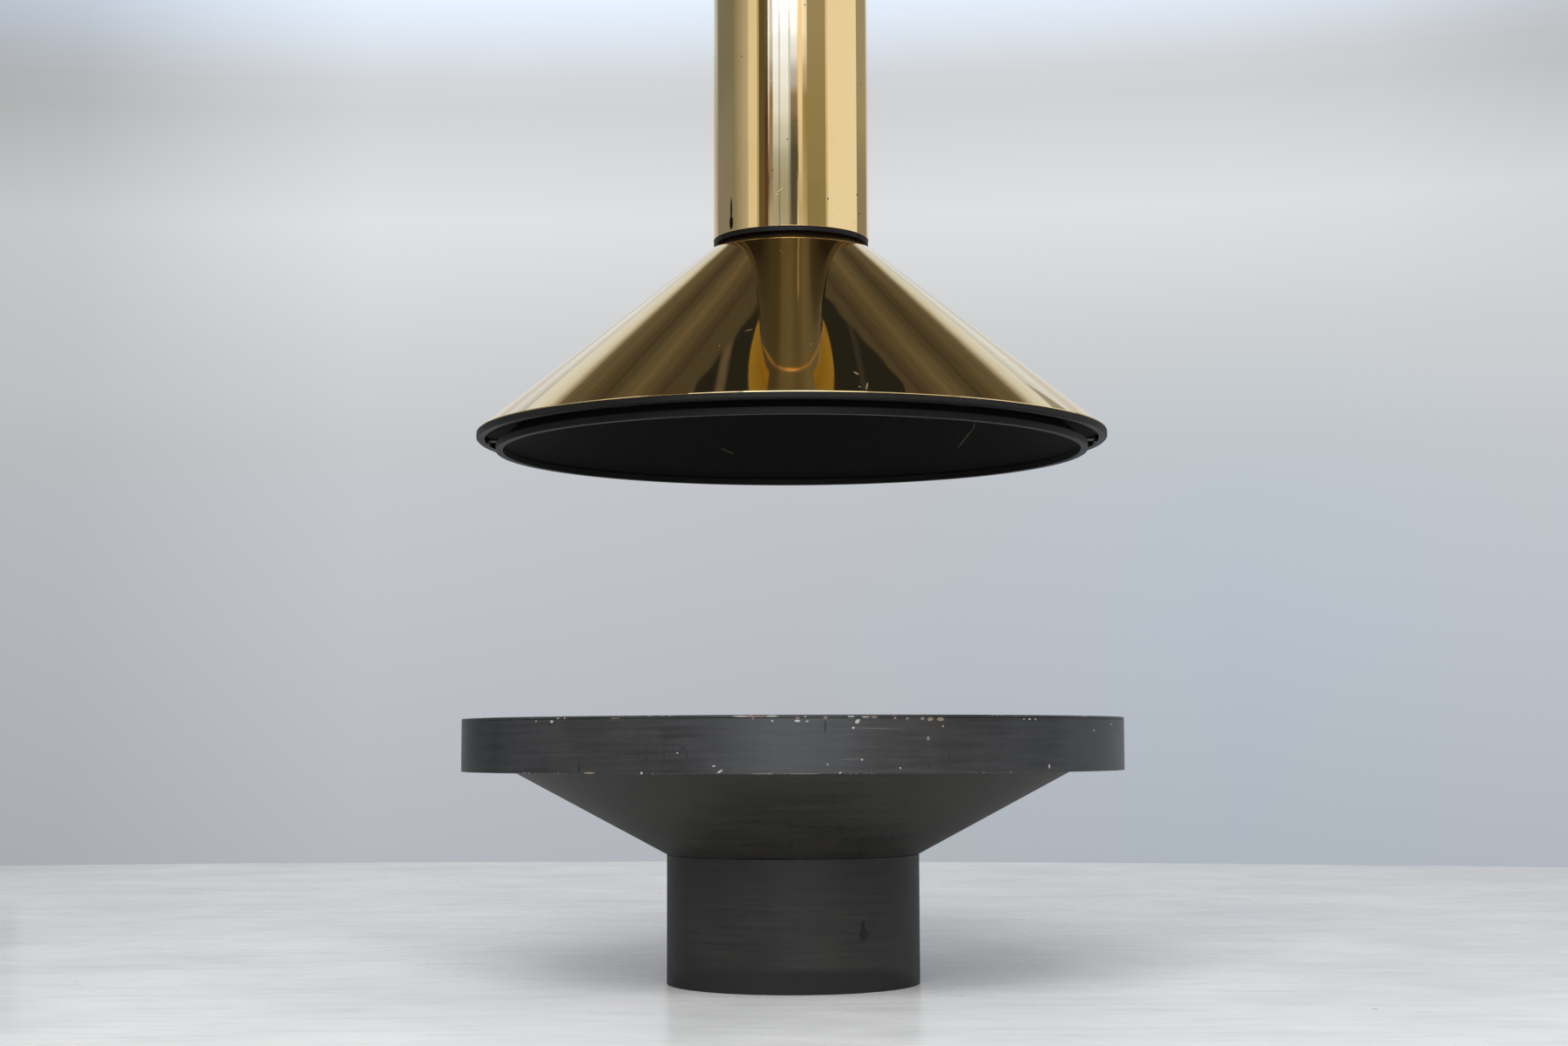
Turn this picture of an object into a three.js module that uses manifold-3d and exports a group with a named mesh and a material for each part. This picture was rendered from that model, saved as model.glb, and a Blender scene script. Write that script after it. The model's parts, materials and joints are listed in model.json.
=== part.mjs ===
// A hanging fireplace in two halves: a polished brass hood that hangs from the ceiling on its flue, and
// a black steel fire bowl that stands on the floor under it. Millimetres, +Z up. The origin is on the
// floor, on the axis that the bowl, the hood and the flue share, and -Y is the front.
import * as THREE from "three";
import { mergeVertices } from "three/addons/utils/BufferGeometryUtils.js";
import Module from "manifold-3d";

const wasm = await Module();
wasm.setup();

// ---------------------------------------------------------------- driving dimensions

// Clearances and facets
const SEAT_GAP = 0.3; // left between faces that touch
const HOLE_CLEARANCE = 0.4; // radial, round a bolt, a screw or the spindle
const LARGE_FACETS = 56; // round the bowl and the hood
const PIPE_FACETS = 36; // round the flue, the sleeve and the pedestal
const SMALL_FACETS = 12; // round bolts, the spindle and its bushes

// Pedestal
const PEDESTAL_RADIUS = 210;
const PEDESTAL_HEIGHT = 212;
const PEDESTAL_WALL = 4;
const PEDESTAL_FLANGE_WIDTH = 41; // the inward flange that carries the bowl
const PEDESTAL_FLANGE_THICKNESS = 6;
const BASE_FLANGE_WIDTH = 56; // the ring that is anchored to the floor
const BASE_FLANGE_THICKNESS = 6;

// Fire bowl and the hearth ring round its mouth
const BOWL_RISE = 138; // from the pedestal to the underside of the hearth ring
const BOWL_MOUTH_RADIUS = 466;
const BOWL_WALL = 4;
const ASH_HOLE_RADIUS = 150;
const HEARTH_RING_WIDTH = 84; // from the bowl's mouth out to the band's face
const BAND_HEIGHT = 86;
const BAND_WALL = 5;
const CHANNEL_FLOOR_THICKNESS = 4; // underside of the hearth ring
const SHELF_THICKNESS = 4;
const SHELF_OVERHANG = 12; // how far the shelf reaches inside the channel's upright wall

// Firebrick lining
const BRICK_COUNT = 6;
const BRICK_THICKNESS = 30;
const BRICK_JOINT = 3;
const BRICK_BEDDING = 1.2; // between the bricks and the steel
const BRICK_UPSTAND = 33; // height of the bricks' outer edge

// Grate and ash pan
const GRATE_RADIUS = 189;
const GRATE_THICKNESS = 13;
const GRATE_RIM_WIDTH = 17;
const GRATE_BAR_WIDTH = 12;
const GRATE_SLOT_WIDTH = 18;
const GRATE_TIE_SPACING = 150;
const GRATE_STAND_HEIGHT = 24;
const GRATE_STAND_WIDTH = 11;
const GRATE_STAND_CLEARANCE = 4; // between the stand and the ash pan's lip
const ASH_PAN_CLEARANCE = 10; // between the pan and the hole that it hangs in
const ASH_PAN_DEPTH = 104;
const ASH_PAN_WALL = 1.5;
const ASH_PAN_LIP = 12; // rests on the bowl's floor
const ASH_HANDLE_WIDTH = 22;
const ASH_HANDLE_THICKNESS = 3;
const ASH_HANDLE_LEG = 26;
const ASH_HANDLE_DROP = 14; // below the pan's lip

// Hood
const HEARTH_OPENING = 447; // open height from the shelf to the hood's lower lip
const INNER_RIM_WIDTH = 12;
const INNER_RIM_HEIGHT = 11;
const INNER_HOOD_INSET = 4; // from the lip's outer face to the foot of the inner cone
const INNER_HOOD_WALL = 2.5;
const OUTER_RIM_RADIUS = 530;
const OUTER_RIM_LIFT = 13; // how far the outer rim's underside is above the inner lip's
const OUTER_RIM_WIDTH = 14;
const OUTER_RIM_HEIGHT = 15;
const OUTER_RIM_STEP = 3;
const RIM_GAP = 18; // open groove between the inner and the outer rim
const HOOD_RISE = 328; // height of the brass cone
const HOOD_NECK_RADIUS = 124.5;
const BRASS_SHEET = 1.5;
const INNER_CONE_DROP = 14; // from the top of the brass cone to the top of the inner one
const BRACKET_COUNT = 6;
const BRACKET_WIDTH = 30;
const BRACKET_THICKNESS = 3;
const BRACKET_FOOT = 12;
const BRACKET_TAIL = 21;

// Neck, flue and sleeve
const FLUE_RADIUS = 115;
const FLUE_WALL = 2;
const FLUE_OVERLAP = 55; // how far the flue pipe reaches down over the collar
const FLUE_SCREW_COUNT = 3;
const COLLAR_WALL = 3;
const COLLAR_LENGTH = 124;
const COLLAR_TAIL = 4; // how far the collar reaches down inside the inner cone
const NECK_RING_THICKNESS = 7.5;
const NECK_RING_INSET = 1; // from the sleeve's outer face to the ring's
const NECK_RING_SEGMENTS = 3;
const NECK_RING_SPLIT = 4;
const SLEEVE_RADIUS = 132.5;
const LOWER_SLEEVE_LENGTH = 660;
const SLEEVE_OVERLAP = 60; // how far the upper sleeve slides down over the lower one

// Ceiling fitting
const CEILING_HEIGHT = 2400;
const CEILING_PLATE_RADIUS = 196;
const CEILING_PLATE_THICKNESS = 5;
const CEILING_BOLT_COUNT = 4;
const CEILING_BOLT_CIRCLE = 162; // radius
const ROSETTE_RADIUS = 205;
const ROSETTE_HEIGHT = 38;
const ROSETTE_RIM_HEIGHT = 6;
const ROSETTE_NECK_HEIGHT = 10;
const ROSETTE_STEPS = 4; // straight steps in the dome's curve
const ROSETTE_SCREW_COUNT = 2;
const SLEEVE_TOP_GAP = 14; // from the sleeve's top to the ceiling plate

// Damper
const DAMPER_HEIGHT = 15; // from the neck ring to the spindle's axis
const DAMPER_MARGIN = 6.5; // between the plate's edge and the collar
const DAMPER_THICKNESS = 3;
const DAMPER_SCREW_SPACING = 110;
const SPINDLE_RADIUS = 5;
const BUSH_WALL = 3.5;
const BUSH_FLANGE = 3;
const SPINDLE_END_GAP = 7; // between the spindle's ends and the sleeve's inside
const LEVER_LENGTH = 190;
const LEVER_WIDTH = 16;
const LEVER_THICKNESS = 5;
const LEVER_HUB_WALL = 4.5;
const LEVER_ANGLE = 45; // degrees from straight down, to the front, with the damper open
const KNOB_RADIUS = 16;

// Fasteners: radius of the thread, width across the head's flats, and height of the head
const LARGE_BOLT = { radius: 5, flats: 16, head: 6.4 };
const SCREW = { radius: 3, flats: 9, head: 3.5 };
const SMALL_SCREW = { radius: 2.5, flats: 7, head: 2.5 };
const BOWL_BOLT_COUNT = 4;
const BOWL_BOLT_CIRCLE = 188; // radius
const ANCHOR_COUNT = 4;
const ANCHOR_CIRCLE = 178; // radius

// ---------------------------------------------------------------- materials

const finish = (color, roughness, metalness) =>
  new THREE.MeshStandardMaterial({ color, roughness, metalness });
const polishedBrass = finish(0xd9b45f, 0.12, 1);
const blackPaintedSteel = finish(0x2b2b2d, 0.6, 0.3);
const stoveEnamel = finish(0x181818, 0.8, 0.2);
const bareSteel = finish(0x8a8c8e, 0.4, 1);
const castIron = finish(0x1f1f1f, 0.85, 0.4);
const firebrick = finish(0xb9a184, 0.95, 0);
const bakelite = finish(0x141312, 0.45, 0);

// ---------------------------------------------------------------- shape helpers

const TURN = 2 * Math.PI;
const radians = (degrees) => (degrees * Math.PI) / 180;
const evenAngles = (count, first = 0) =>
  Array.from({ length: count }, (_, i) => first + (i * TURN) / count);

// A solid of revolution about Z. The profile is a closed outline of [radius, height] points.
function turned(profile, facets) {
  const area = profile.reduce((sum, [r, z], i) => {
    const [nextR, nextZ] = profile[(i + 1) % profile.length];
    return sum + r * nextZ - nextR * z;
  }, 0);
  const outline = area > 0 ? profile : [...profile].reverse();
  const points = [...outline, outline[0]].map(([r, z]) => new THREE.Vector2(r, z));
  return new THREE.LatheGeometry(points, facets).rotateX(Math.PI / 2);
}

// A ring or tube of rectangular section.
function ring(innerRadius, outerRadius, bottom, top, facets) {
  const profile = [[innerRadius, bottom], [outerRadius, bottom], [outerRadius, top], [innerRadius, top]];
  return turned(profile, facets);
}

// A conical wall with level edges, from [radius, height] to [radius, height] on its outer face.
function conicalWall([lowR, lowZ], [highR, highZ], levelWall, facets) {
  const profile = [[lowR, lowZ], [highR, highZ], [highR - levelWall, highZ], [lowR - levelWall, lowZ]];
  return turned(profile, facets);
}

// The level width of a sheet that slopes by this run and rise.
const levelWidth = (sheet, run, rise) => (sheet * Math.hypot(run, rise)) / rise;

// A flat outline of [x, y] points, raised along Z.
function slab(outline, height) {
  const shape = new THREE.Shape(outline.map(([x, y]) => new THREE.Vector2(x, y)));
  return new THREE.ExtrudeGeometry(shape, { depth: height, bevelEnabled: false });
}

// An outline in radius and height, given a width across, centred on the XZ plane.
function strap(outline, width) {
  return slab(outline, width).rotateX(Math.PI / 2).translate(0, width / 2, 0);
}

function rod(radius, length, facets = SMALL_FACETS) {
  return new THREE.CylinderGeometry(radius, radius, length, facets).rotateX(Math.PI / 2);
}

function box(x, y, z) {
  return new THREE.BoxGeometry(x, y, z);
}

function toSolid(geometry) {
  const bare = geometry.clone();
  bare.deleteAttribute("normal");
  bare.deleteAttribute("uv");
  const merged = mergeVertices(bare);
  return new wasm.Manifold(
    new wasm.Mesh({
      numProp: 3,
      vertProperties: merged.attributes.position.array,
      triVerts: new Uint32Array(merged.index.array),
    }),
  );
}

function toGeometry(solid) {
  const mesh = solid.getMesh();
  const geometry = new THREE.BufferGeometry();
  geometry.setAttribute("position", new THREE.BufferAttribute(mesh.vertProperties, 3));
  geometry.setIndex(new THREE.BufferAttribute(mesh.triVerts, 1));
  geometry.computeVertexNormals();
  return geometry;
}

const joined = (first, ...others) =>
  toGeometry(others.reduce((sum, g) => sum.add(toSolid(g)), toSolid(first)));
const cut = (body, ...tools) =>
  toGeometry(tools.reduce((left, g) => left.subtract(toSolid(g)), toSolid(body)));
const common = (a, b) => toGeometry(toSolid(a).intersect(toSolid(b)));

// A hex-headed bolt or screw on the Z axis: the head sits on z = 0 and the shank points down.
function bolt({ radius, flats, head }, shankLength) {
  const headRadius = flats / Math.sqrt(3);
  const top = rod(headRadius, head, 6).translate(0, 0, head / 2);
  const shank = rod(radius, shankLength + head / 2).translate(0, 0, (head / 2 - shankLength) / 2);
  return joined(top, shank);
}

// Upright holes for bolts on a circle.
function boltHoles({ radius }, circle, angles, middle, depth) {
  return angles.map((angle) =>
    rod(radius + HOLE_CLEARANCE, depth)
      .translate(circle, 0, middle)
      .rotateZ(angle),
  );
}

// Level holes that point away from the axis.
function radialHoles(radius, height, angles, reach) {
  return angles.map((angle) =>
    rod(radius, reach)
      .translate(0, 0, reach / 2)
      .rotateY(Math.PI / 2)
      .rotateZ(angle)
      .translate(0, 0, height),
  );
}

const fireplace = new THREE.Group();

function add(name, geometry, material, parent = fireplace) {
  const mesh = new THREE.Mesh(geometry, material);
  mesh.name = name;
  parent.add(mesh);
  return mesh;
}

// Copies of one fastener, upright on a circle, with the head's seat at this height. flip points it up.
function addBolts(name, kind, shankLength, circle, angles, seat, flip = false) {
  angles.forEach((angle, i) => {
    const mesh = add(`${name}_${i + 1}`, bolt(kind, shankLength), bareSteel);
    mesh.position.set(circle * Math.cos(angle), circle * Math.sin(angle), seat);
    if (flip) mesh.rotation.x = Math.PI;
  });
}

// Copies of one screw that point at the axis, with their heads on the outside of a pipe of this radius.
function addRadialScrews(name, kind, shankLength, pipeRadius, angles, height) {
  angles.forEach((angle, i) => {
    const mesh = add(`${name}_${i + 1}`, bolt(kind, shankLength).rotateY(Math.PI / 2), bareSteel);
    mesh.rotation.z = angle;
    mesh.position.set(0, 0, height);
    mesh.translateX(pipeRadius + SEAT_GAP);
  });
}

// ---------------------------------------------------------------- levels and radii that pieces share

const bowlBase = PEDESTAL_HEIGHT;
const bowlFloor = bowlBase + BOWL_WALL;
const bandBase = bowlBase + BOWL_RISE;
const bandRadius = BOWL_MOUTH_RADIUS + HEARTH_RING_WIDTH;
const hearthTop = bandBase + BAND_HEIGHT;
const shelfSeat = hearthTop - SHELF_THICKNESS - SEAT_GAP;
const bowlRun = BOWL_MOUTH_RADIUS - PEDESTAL_RADIUS;
const bowlLevelWall = levelWidth(BOWL_WALL, bowlRun, BOWL_RISE);
const mouthInside = BOWL_MOUTH_RADIUS - BOWL_WALL;
// Radius of the bowl's outer face at a height
const bowlOutside = (z) => PEDESTAL_RADIUS + ((z - bowlBase) * bowlRun) / BOWL_RISE;
// Height of the bowl's inner face at a radius
const bowlInside = (r) => bowlBase + ((r + bowlLevelWall - PEDESTAL_RADIUS) * BOWL_RISE) / bowlRun;

const rimInside = OUTER_RIM_RADIUS - OUTER_RIM_WIDTH;
const innerRimRadius = rimInside - RIM_GAP;
const innerLip = hearthTop + HEARTH_OPENING;
const innerConeBase = innerLip + INNER_RIM_HEIGHT + SEAT_GAP;
const outerRimBase = innerLip + OUTER_RIM_LIFT;
const outerRimTop = outerRimBase + OUTER_RIM_HEIGHT;
const hoodBase = outerRimTop + SEAT_GAP;
const hoodTop = hoodBase + HOOD_RISE;
const innerConeTop = hoodTop - INNER_CONE_DROP;

const collarRadius = FLUE_RADIUS - FLUE_WALL - SEAT_GAP;
const collarBase = innerConeTop - COLLAR_TAIL;
const collarTop = collarBase + COLLAR_LENGTH;
const innerConeRadius = innerRimRadius - INNER_HOOD_INSET;
const innerConeRise = innerConeTop - innerConeBase;
const innerConeRun = innerConeRadius - collarRadius;
const innerConeLevelWall = levelWidth(INNER_HOOD_WALL, innerConeRun, innerConeRise);
const innerNeckRadius = collarRadius + 2 * SEAT_GAP + innerConeLevelWall;
// Radius of the inner cone's outer face at a height
const innerConeAt = (z) =>
  innerConeRadius - ((innerConeRadius - innerNeckRadius) * (z - innerConeBase)) / innerConeRise;

const neckRingBase = hoodTop + SEAT_GAP;
const neckRingTop = neckRingBase + NECK_RING_THICKNESS;
const sleeveBase = neckRingTop + SEAT_GAP;
const sleeveInside = SLEEVE_RADIUS - BRASS_SHEET;
const upperSleeveRadius = SLEEVE_RADIUS + 2 * SEAT_GAP + BRASS_SHEET;
const flueBase = collarTop - FLUE_OVERLAP;
const damperAxis = neckRingTop + DAMPER_HEIGHT;
const ceilingPlateBase = CEILING_HEIGHT - CEILING_PLATE_THICKNESS;
const flueTop = CEILING_HEIGHT - SEAT_GAP;

// The neck ring's splits and the flue screws above them share these angles: two at the front, one behind
const neckAngles = evenAngles(NECK_RING_SEGMENTS, radians(90));
const bowlBoltAngles = evenAngles(BOWL_BOLT_COUNT, radians(45));
const anchorAngles = evenAngles(ANCHOR_COUNT, radians(45));
const ceilingBoltAngles = evenAngles(CEILING_BOLT_COUNT, radians(45));

// ---------------------------------------------------------------- pedestal

function makePedestal() {
  const inside = PEDESTAL_RADIUS - PEDESTAL_WALL;
  const top = bowlBase - SEAT_GAP;
  const flangeRadius = inside - PEDESTAL_FLANGE_WIDTH;
  const flangeBase = top - PEDESTAL_FLANGE_THICKNESS;
  const tube = turned(
    [
      [inside, 0],
      [PEDESTAL_RADIUS, 0],
      [PEDESTAL_RADIUS, top],
      [flangeRadius, top],
      [flangeRadius, flangeBase],
      [inside, flangeBase],
    ],
    PIPE_FACETS,
  );
  const depth = 4 * PEDESTAL_FLANGE_THICKNESS;
  const holes = boltHoles(LARGE_BOLT, BOWL_BOLT_CIRCLE, bowlBoltAngles, top, depth);
  add("pedestal", cut(tube, ...holes), blackPaintedSteel);

  const outer = inside - SEAT_GAP;
  const base = ring(outer - BASE_FLANGE_WIDTH, outer, 0, BASE_FLANGE_THICKNESS, PIPE_FACETS);
  const anchorHoles = boltHoles(LARGE_BOLT, ANCHOR_CIRCLE, anchorAngles, 0, 4 * BASE_FLANGE_THICKNESS);
  add("base_flange", cut(base, ...anchorHoles), blackPaintedSteel);
  const anchorSeat = BASE_FLANGE_THICKNESS + SEAT_GAP;
  addBolts("anchor_bolt", LARGE_BOLT, BASE_FLANGE_THICKNESS, ANCHOR_CIRCLE, anchorAngles, anchorSeat);
}

// ---------------------------------------------------------------- fire bowl and hearth ring

function makeBowl() {
  const coneTop = bandBase - SEAT_GAP;
  const floorEdge = PEDESTAL_RADIUS - bowlLevelWall + (BOWL_WALL * bowlRun) / BOWL_RISE;
  const shell = turned(
    [
      [ASH_HOLE_RADIUS, bowlBase],
      [PEDESTAL_RADIUS, bowlBase],
      [bowlOutside(coneTop), coneTop],
      [bowlOutside(coneTop) - bowlLevelWall, coneTop],
      [floorEdge, bowlFloor],
      [ASH_HOLE_RADIUS, bowlFloor],
    ],
    LARGE_FACETS,
  );
  const holes = boltHoles(LARGE_BOLT, BOWL_BOLT_CIRCLE, bowlBoltAngles, bowlFloor, 4 * BOWL_WALL);
  add("fire_bowl", cut(shell, ...holes), blackPaintedSteel);
  const grip = BOWL_WALL + PEDESTAL_FLANGE_THICKNESS + 2 * SEAT_GAP + LARGE_BOLT.radius;
  addBolts("bowl_bolt", LARGE_BOLT, grip, BOWL_BOLT_CIRCLE, bowlBoltAngles, bowlFloor + SEAT_GAP);

  // The hearth ring is a hollow box: a channel round the bowl's mouth, a band outside and a shelf on top
  const bandInside = bandRadius - BAND_WALL;
  const channelEdge = bandInside - SEAT_GAP;
  const channelFloor = bandBase + CHANNEL_FLOOR_THICKNESS;
  const channel = turned(
    [
      [mouthInside, bandBase],
      [channelEdge, bandBase],
      [channelEdge, channelFloor],
      [BOWL_MOUTH_RADIUS, channelFloor],
      [BOWL_MOUTH_RADIUS, shelfSeat],
      [mouthInside, shelfSeat],
    ],
    LARGE_FACETS,
  );
  add("hearth_channel", channel, blackPaintedSteel);
  add("hearth_band", ring(bandInside, bandRadius, bandBase, shelfSeat, LARGE_FACETS), blackPaintedSteel);
  const shelfBase = hearthTop - SHELF_THICKNESS;
  const shelf = ring(mouthInside - SHELF_OVERHANG, bandRadius, shelfBase, hearthTop, LARGE_FACETS);
  add("hearth_shelf", shelf, blackPaintedSteel);
}

// ---------------------------------------------------------------- firebrick lining

const brickOuter = mouthInside - BRICK_BEDDING;
const brickInner = PEDESTAL_RADIUS + 2 * BRICK_BEDDING;
const brickFace = (r) => bowlInside(r) + (BRICK_THICKNESS * Math.hypot(bowlRun, BOWL_RISE)) / bowlRun;

function makeLining() {
  const bed = (r) => bowlInside(r) + (BRICK_BEDDING * Math.hypot(bowlRun, BOWL_RISE)) / bowlRun;
  const full = turned(
    [
      [brickInner, bed(brickInner)],
      [brickOuter, bed(brickOuter)],
      [brickOuter, bed(brickOuter) + BRICK_UPSTAND],
      [brickInner, brickFace(brickInner)],
    ],
    LARGE_FACETS,
  );
  const reach = 2 * BOWL_MOUTH_RADIUS;
  const half = Math.PI / BRICK_COUNT;
  const tip = BRICK_JOINT / 2 / Math.sin(half);
  const far = tip + reach * Math.cos(half);
  const side = reach * Math.sin(half);
  const wedge = slab([[tip, 0], [far, -side], [far, side]], 2 * hearthTop);
  evenAngles(BRICK_COUNT, half).forEach((angle, i) => {
    add(`firebrick_${i + 1}`, common(full, wedge.clone().rotateZ(angle)), firebrick);
  });
}

// ---------------------------------------------------------------- grate and ash pan

const grateStandInner = ASH_HOLE_RADIUS + ASH_PAN_LIP + GRATE_STAND_CLEARANCE;
const grateStandTop = bowlFloor + SEAT_GAP + GRATE_STAND_HEIGHT;
const grateBase = grateStandTop + SEAT_GAP;
const grateTop = grateBase + GRATE_THICKNESS;

function makeGrate() {
  const standOuter = grateStandInner + GRATE_STAND_WIDTH;
  const stand = ring(grateStandInner, standOuter, bowlFloor + SEAT_GAP, grateStandTop, PIPE_FACETS);
  add("grate_stand", stand, castIron);
  const disc = turned(
    [[0, grateBase], [GRATE_RADIUS, grateBase], [GRATE_RADIUS, grateTop], [0, grateTop]],
    PIPE_FACETS,
  );
  const openRadius = GRATE_RADIUS - GRATE_RIM_WIDTH;
  const pitch = GRATE_BAR_WIDTH + GRATE_SLOT_WIDTH;
  const slotsPerSide = Math.floor((openRadius - GRATE_SLOT_WIDTH / 2 - GRATE_BAR_WIDTH) / pitch);
  const slots = [];
  for (let n = -slotsPerSide; n <= slotsPerSide; n++) {
    const edge = Math.abs(n * pitch) + GRATE_SLOT_WIDTH / 2;
    const length = 2 * Math.sqrt(openRadius ** 2 - edge ** 2);
    slots.push(box(GRATE_SLOT_WIDTH, length, 4 * GRATE_THICKNESS).translate(n * pitch, 0, grateBase));
  }
  const ties = [-0.5, 0.5].map((side) =>
    box(2 * openRadius, GRATE_BAR_WIDTH, GRATE_THICKNESS).translate(
      0,
      side * GRATE_TIE_SPACING,
      grateBase + GRATE_THICKNESS / 2,
    ),
  );
  const slotted = toSolid(cut(disc, ...slots));
  const tied = ties.reduce((sum, tie) => sum.add(toSolid(tie)), slotted);
  add("grate", toGeometry(tied.intersect(toSolid(disc))), castIron);
}

function makeAshPan() {
  const radius = ASH_HOLE_RADIUS - ASH_PAN_CLEARANCE;
  const lipBase = bowlFloor + SEAT_GAP;
  const lipTop = lipBase + ASH_PAN_WALL;
  const bottom = lipTop - ASH_PAN_DEPTH;
  add(
    "ash_pan",
    turned(
      [
        [0, bottom],
        [radius, bottom],
        [radius, lipBase],
        [ASH_HOLE_RADIUS + ASH_PAN_LIP, lipBase],
        [ASH_HOLE_RADIUS + ASH_PAN_LIP, lipTop],
        [radius - ASH_PAN_WALL, lipTop],
        [radius - ASH_PAN_WALL, bottom + ASH_PAN_WALL],
        [0, bottom + ASH_PAN_WALL],
      ],
      PIPE_FACETS,
    ),
    blackPaintedSteel,
  );
  const end = (radius - ASH_PAN_WALL) * Math.cos(Math.PI / PIPE_FACETS) - 2 * SEAT_GAP;
  const corner = Math.sqrt(end ** 2 - (ASH_HANDLE_WIDTH / 2) ** 2);
  const top = lipTop - ASH_HANDLE_DROP;
  const outline = [
    [-corner, top],
    [-corner, top - ASH_HANDLE_LEG],
    [ASH_HANDLE_THICKNESS - corner, top - ASH_HANDLE_LEG],
    [ASH_HANDLE_THICKNESS - corner, top - ASH_HANDLE_THICKNESS],
    [corner - ASH_HANDLE_THICKNESS, top - ASH_HANDLE_THICKNESS],
    [corner - ASH_HANDLE_THICKNESS, top - ASH_HANDLE_LEG],
    [corner, top - ASH_HANDLE_LEG],
    [corner, top],
  ];
  add("ash_pan_handle", strap(outline, ASH_HANDLE_WIDTH), bareSteel);
}

// ---------------------------------------------------------------- hood

function makeHood() {
  const brassLevelWall = levelWidth(BRASS_SHEET, OUTER_RIM_RADIUS - HOOD_NECK_RADIUS, HOOD_RISE);
  add(
    "brass_hood",
    conicalWall([OUTER_RIM_RADIUS, hoodBase], [HOOD_NECK_RADIUS, hoodTop], brassLevelWall, LARGE_FACETS),
    polishedBrass,
  );
  const stepRadius = OUTER_RIM_RADIUS - OUTER_RIM_STEP;
  add(
    "outer_rim",
    turned(
      [
        [rimInside, outerRimBase],
        [stepRadius, outerRimBase],
        [stepRadius, outerRimBase + OUTER_RIM_STEP],
        [OUTER_RIM_RADIUS, outerRimBase + OUTER_RIM_STEP],
        [OUTER_RIM_RADIUS, outerRimTop],
        [rimInside, outerRimTop],
      ],
      LARGE_FACETS,
    ),
    blackPaintedSteel,
  );
  const innerFoot = [innerConeRadius, innerConeBase];
  const innerTop = [innerNeckRadius, innerConeTop];
  add("inner_hood", conicalWall(innerFoot, innerTop, innerConeLevelWall, LARGE_FACETS), stoveEnamel);
  const lipInside = innerRimRadius - INNER_RIM_WIDTH;
  const lip = ring(lipInside, innerRimRadius, innerLip, innerLip + INNER_RIM_HEIGHT, LARGE_FACETS);
  add("inner_rim", lip, blackPaintedSteel);

  // Brackets: a foot against the outer rim, a level web, and a tail that lies up the inner cone
  const face = rimInside * Math.cos(Math.PI / LARGE_FACETS) - SEAT_GAP;
  const webBase = outerRimBase + BRACKET_FOOT - BRACKET_THICKNESS;
  const webTop = outerRimBase + BRACKET_FOOT;
  const tailTop = webTop + BRACKET_TAIL;
  const tailIn = (z) => innerConeAt(z) + 2 * SEAT_GAP;
  const tailOut = (z) => tailIn(z) + levelWidth(BRACKET_THICKNESS, innerConeRun, innerConeRise);
  const outline = [
    [face, outerRimBase],
    [face, webTop],
    [tailOut(webTop), webTop],
    [tailOut(tailTop), tailTop],
    [tailIn(tailTop), tailTop],
    [tailIn(webBase), webBase],
    [face - BRACKET_THICKNESS, webBase],
    [face - BRACKET_THICKNESS, outerRimBase],
  ];
  evenAngles(BRACKET_COUNT, radians(60)).forEach((angle, i) => {
    const mesh = add(`hood_bracket_${i + 1}`, strap(outline, BRACKET_WIDTH), blackPaintedSteel);
    mesh.rotation.z = angle;
  });
}

// ---------------------------------------------------------------- neck: collar, split ring and flue

const bushRadius = SPINDLE_RADIUS + HOLE_CLEARANCE + BUSH_WALL;
const flueScrewHeight = collarTop - FLUE_OVERLAP / 2;
const flueScrewAngles = evenAngles(FLUE_SCREW_COUNT, radians(90));

function makeNeck() {
  const reach = 2 * FLUE_RADIUS;
  const bores = radialHoles(bushRadius + SEAT_GAP, damperAxis, [0, Math.PI], reach);
  const screwHoles = radialHoles(SCREW.radius + HOLE_CLEARANCE, flueScrewHeight, flueScrewAngles, reach);
  const collar = ring(collarRadius - COLLAR_WALL, collarRadius, collarBase, collarTop, PIPE_FACETS);
  add("hood_collar", cut(collar, ...bores, ...screwHoles), stoveEnamel);

  const pipe = ring(FLUE_RADIUS - FLUE_WALL, FLUE_RADIUS, flueBase, flueTop, PIPE_FACETS);
  add("flue_pipe", cut(pipe, ...screwHoles), stoveEnamel);
  const grip = FLUE_WALL + COLLAR_WALL + 2 * SEAT_GAP + SCREW.radius;
  addRadialScrews("flue_screw", SCREW, grip, FLUE_RADIUS, flueScrewAngles, flueScrewHeight);

  // The ring that the brass sleeve stands on, in segments with open splits between them
  const full = ring(
    collarRadius + 2 * SEAT_GAP,
    SLEEVE_RADIUS - NECK_RING_INSET,
    neckRingBase,
    neckRingTop,
    PIPE_FACETS,
  );
  const splits = neckAngles.map((angle) =>
    box(2 * SLEEVE_RADIUS, NECK_RING_SPLIT, 4 * NECK_RING_THICKNESS)
      .translate(SLEEVE_RADIUS, 0, neckRingBase)
      .rotateZ(angle),
  );
  const pieces = toSolid(cut(full, ...splits)).decompose();
  const bearing = (piece) => {
    const { min, max } = piece.boundingBox();
    return (Math.atan2(min[1] + max[1], min[0] + max[0]) + TURN) % TURN;
  };
  pieces
    .sort((a, b) => bearing(a) - bearing(b))
    .forEach((piece, i) => add(`neck_ring_${i + 1}`, toGeometry(piece), blackPaintedSteel));
}

// ---------------------------------------------------------------- brass sleeve round the flue

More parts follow.
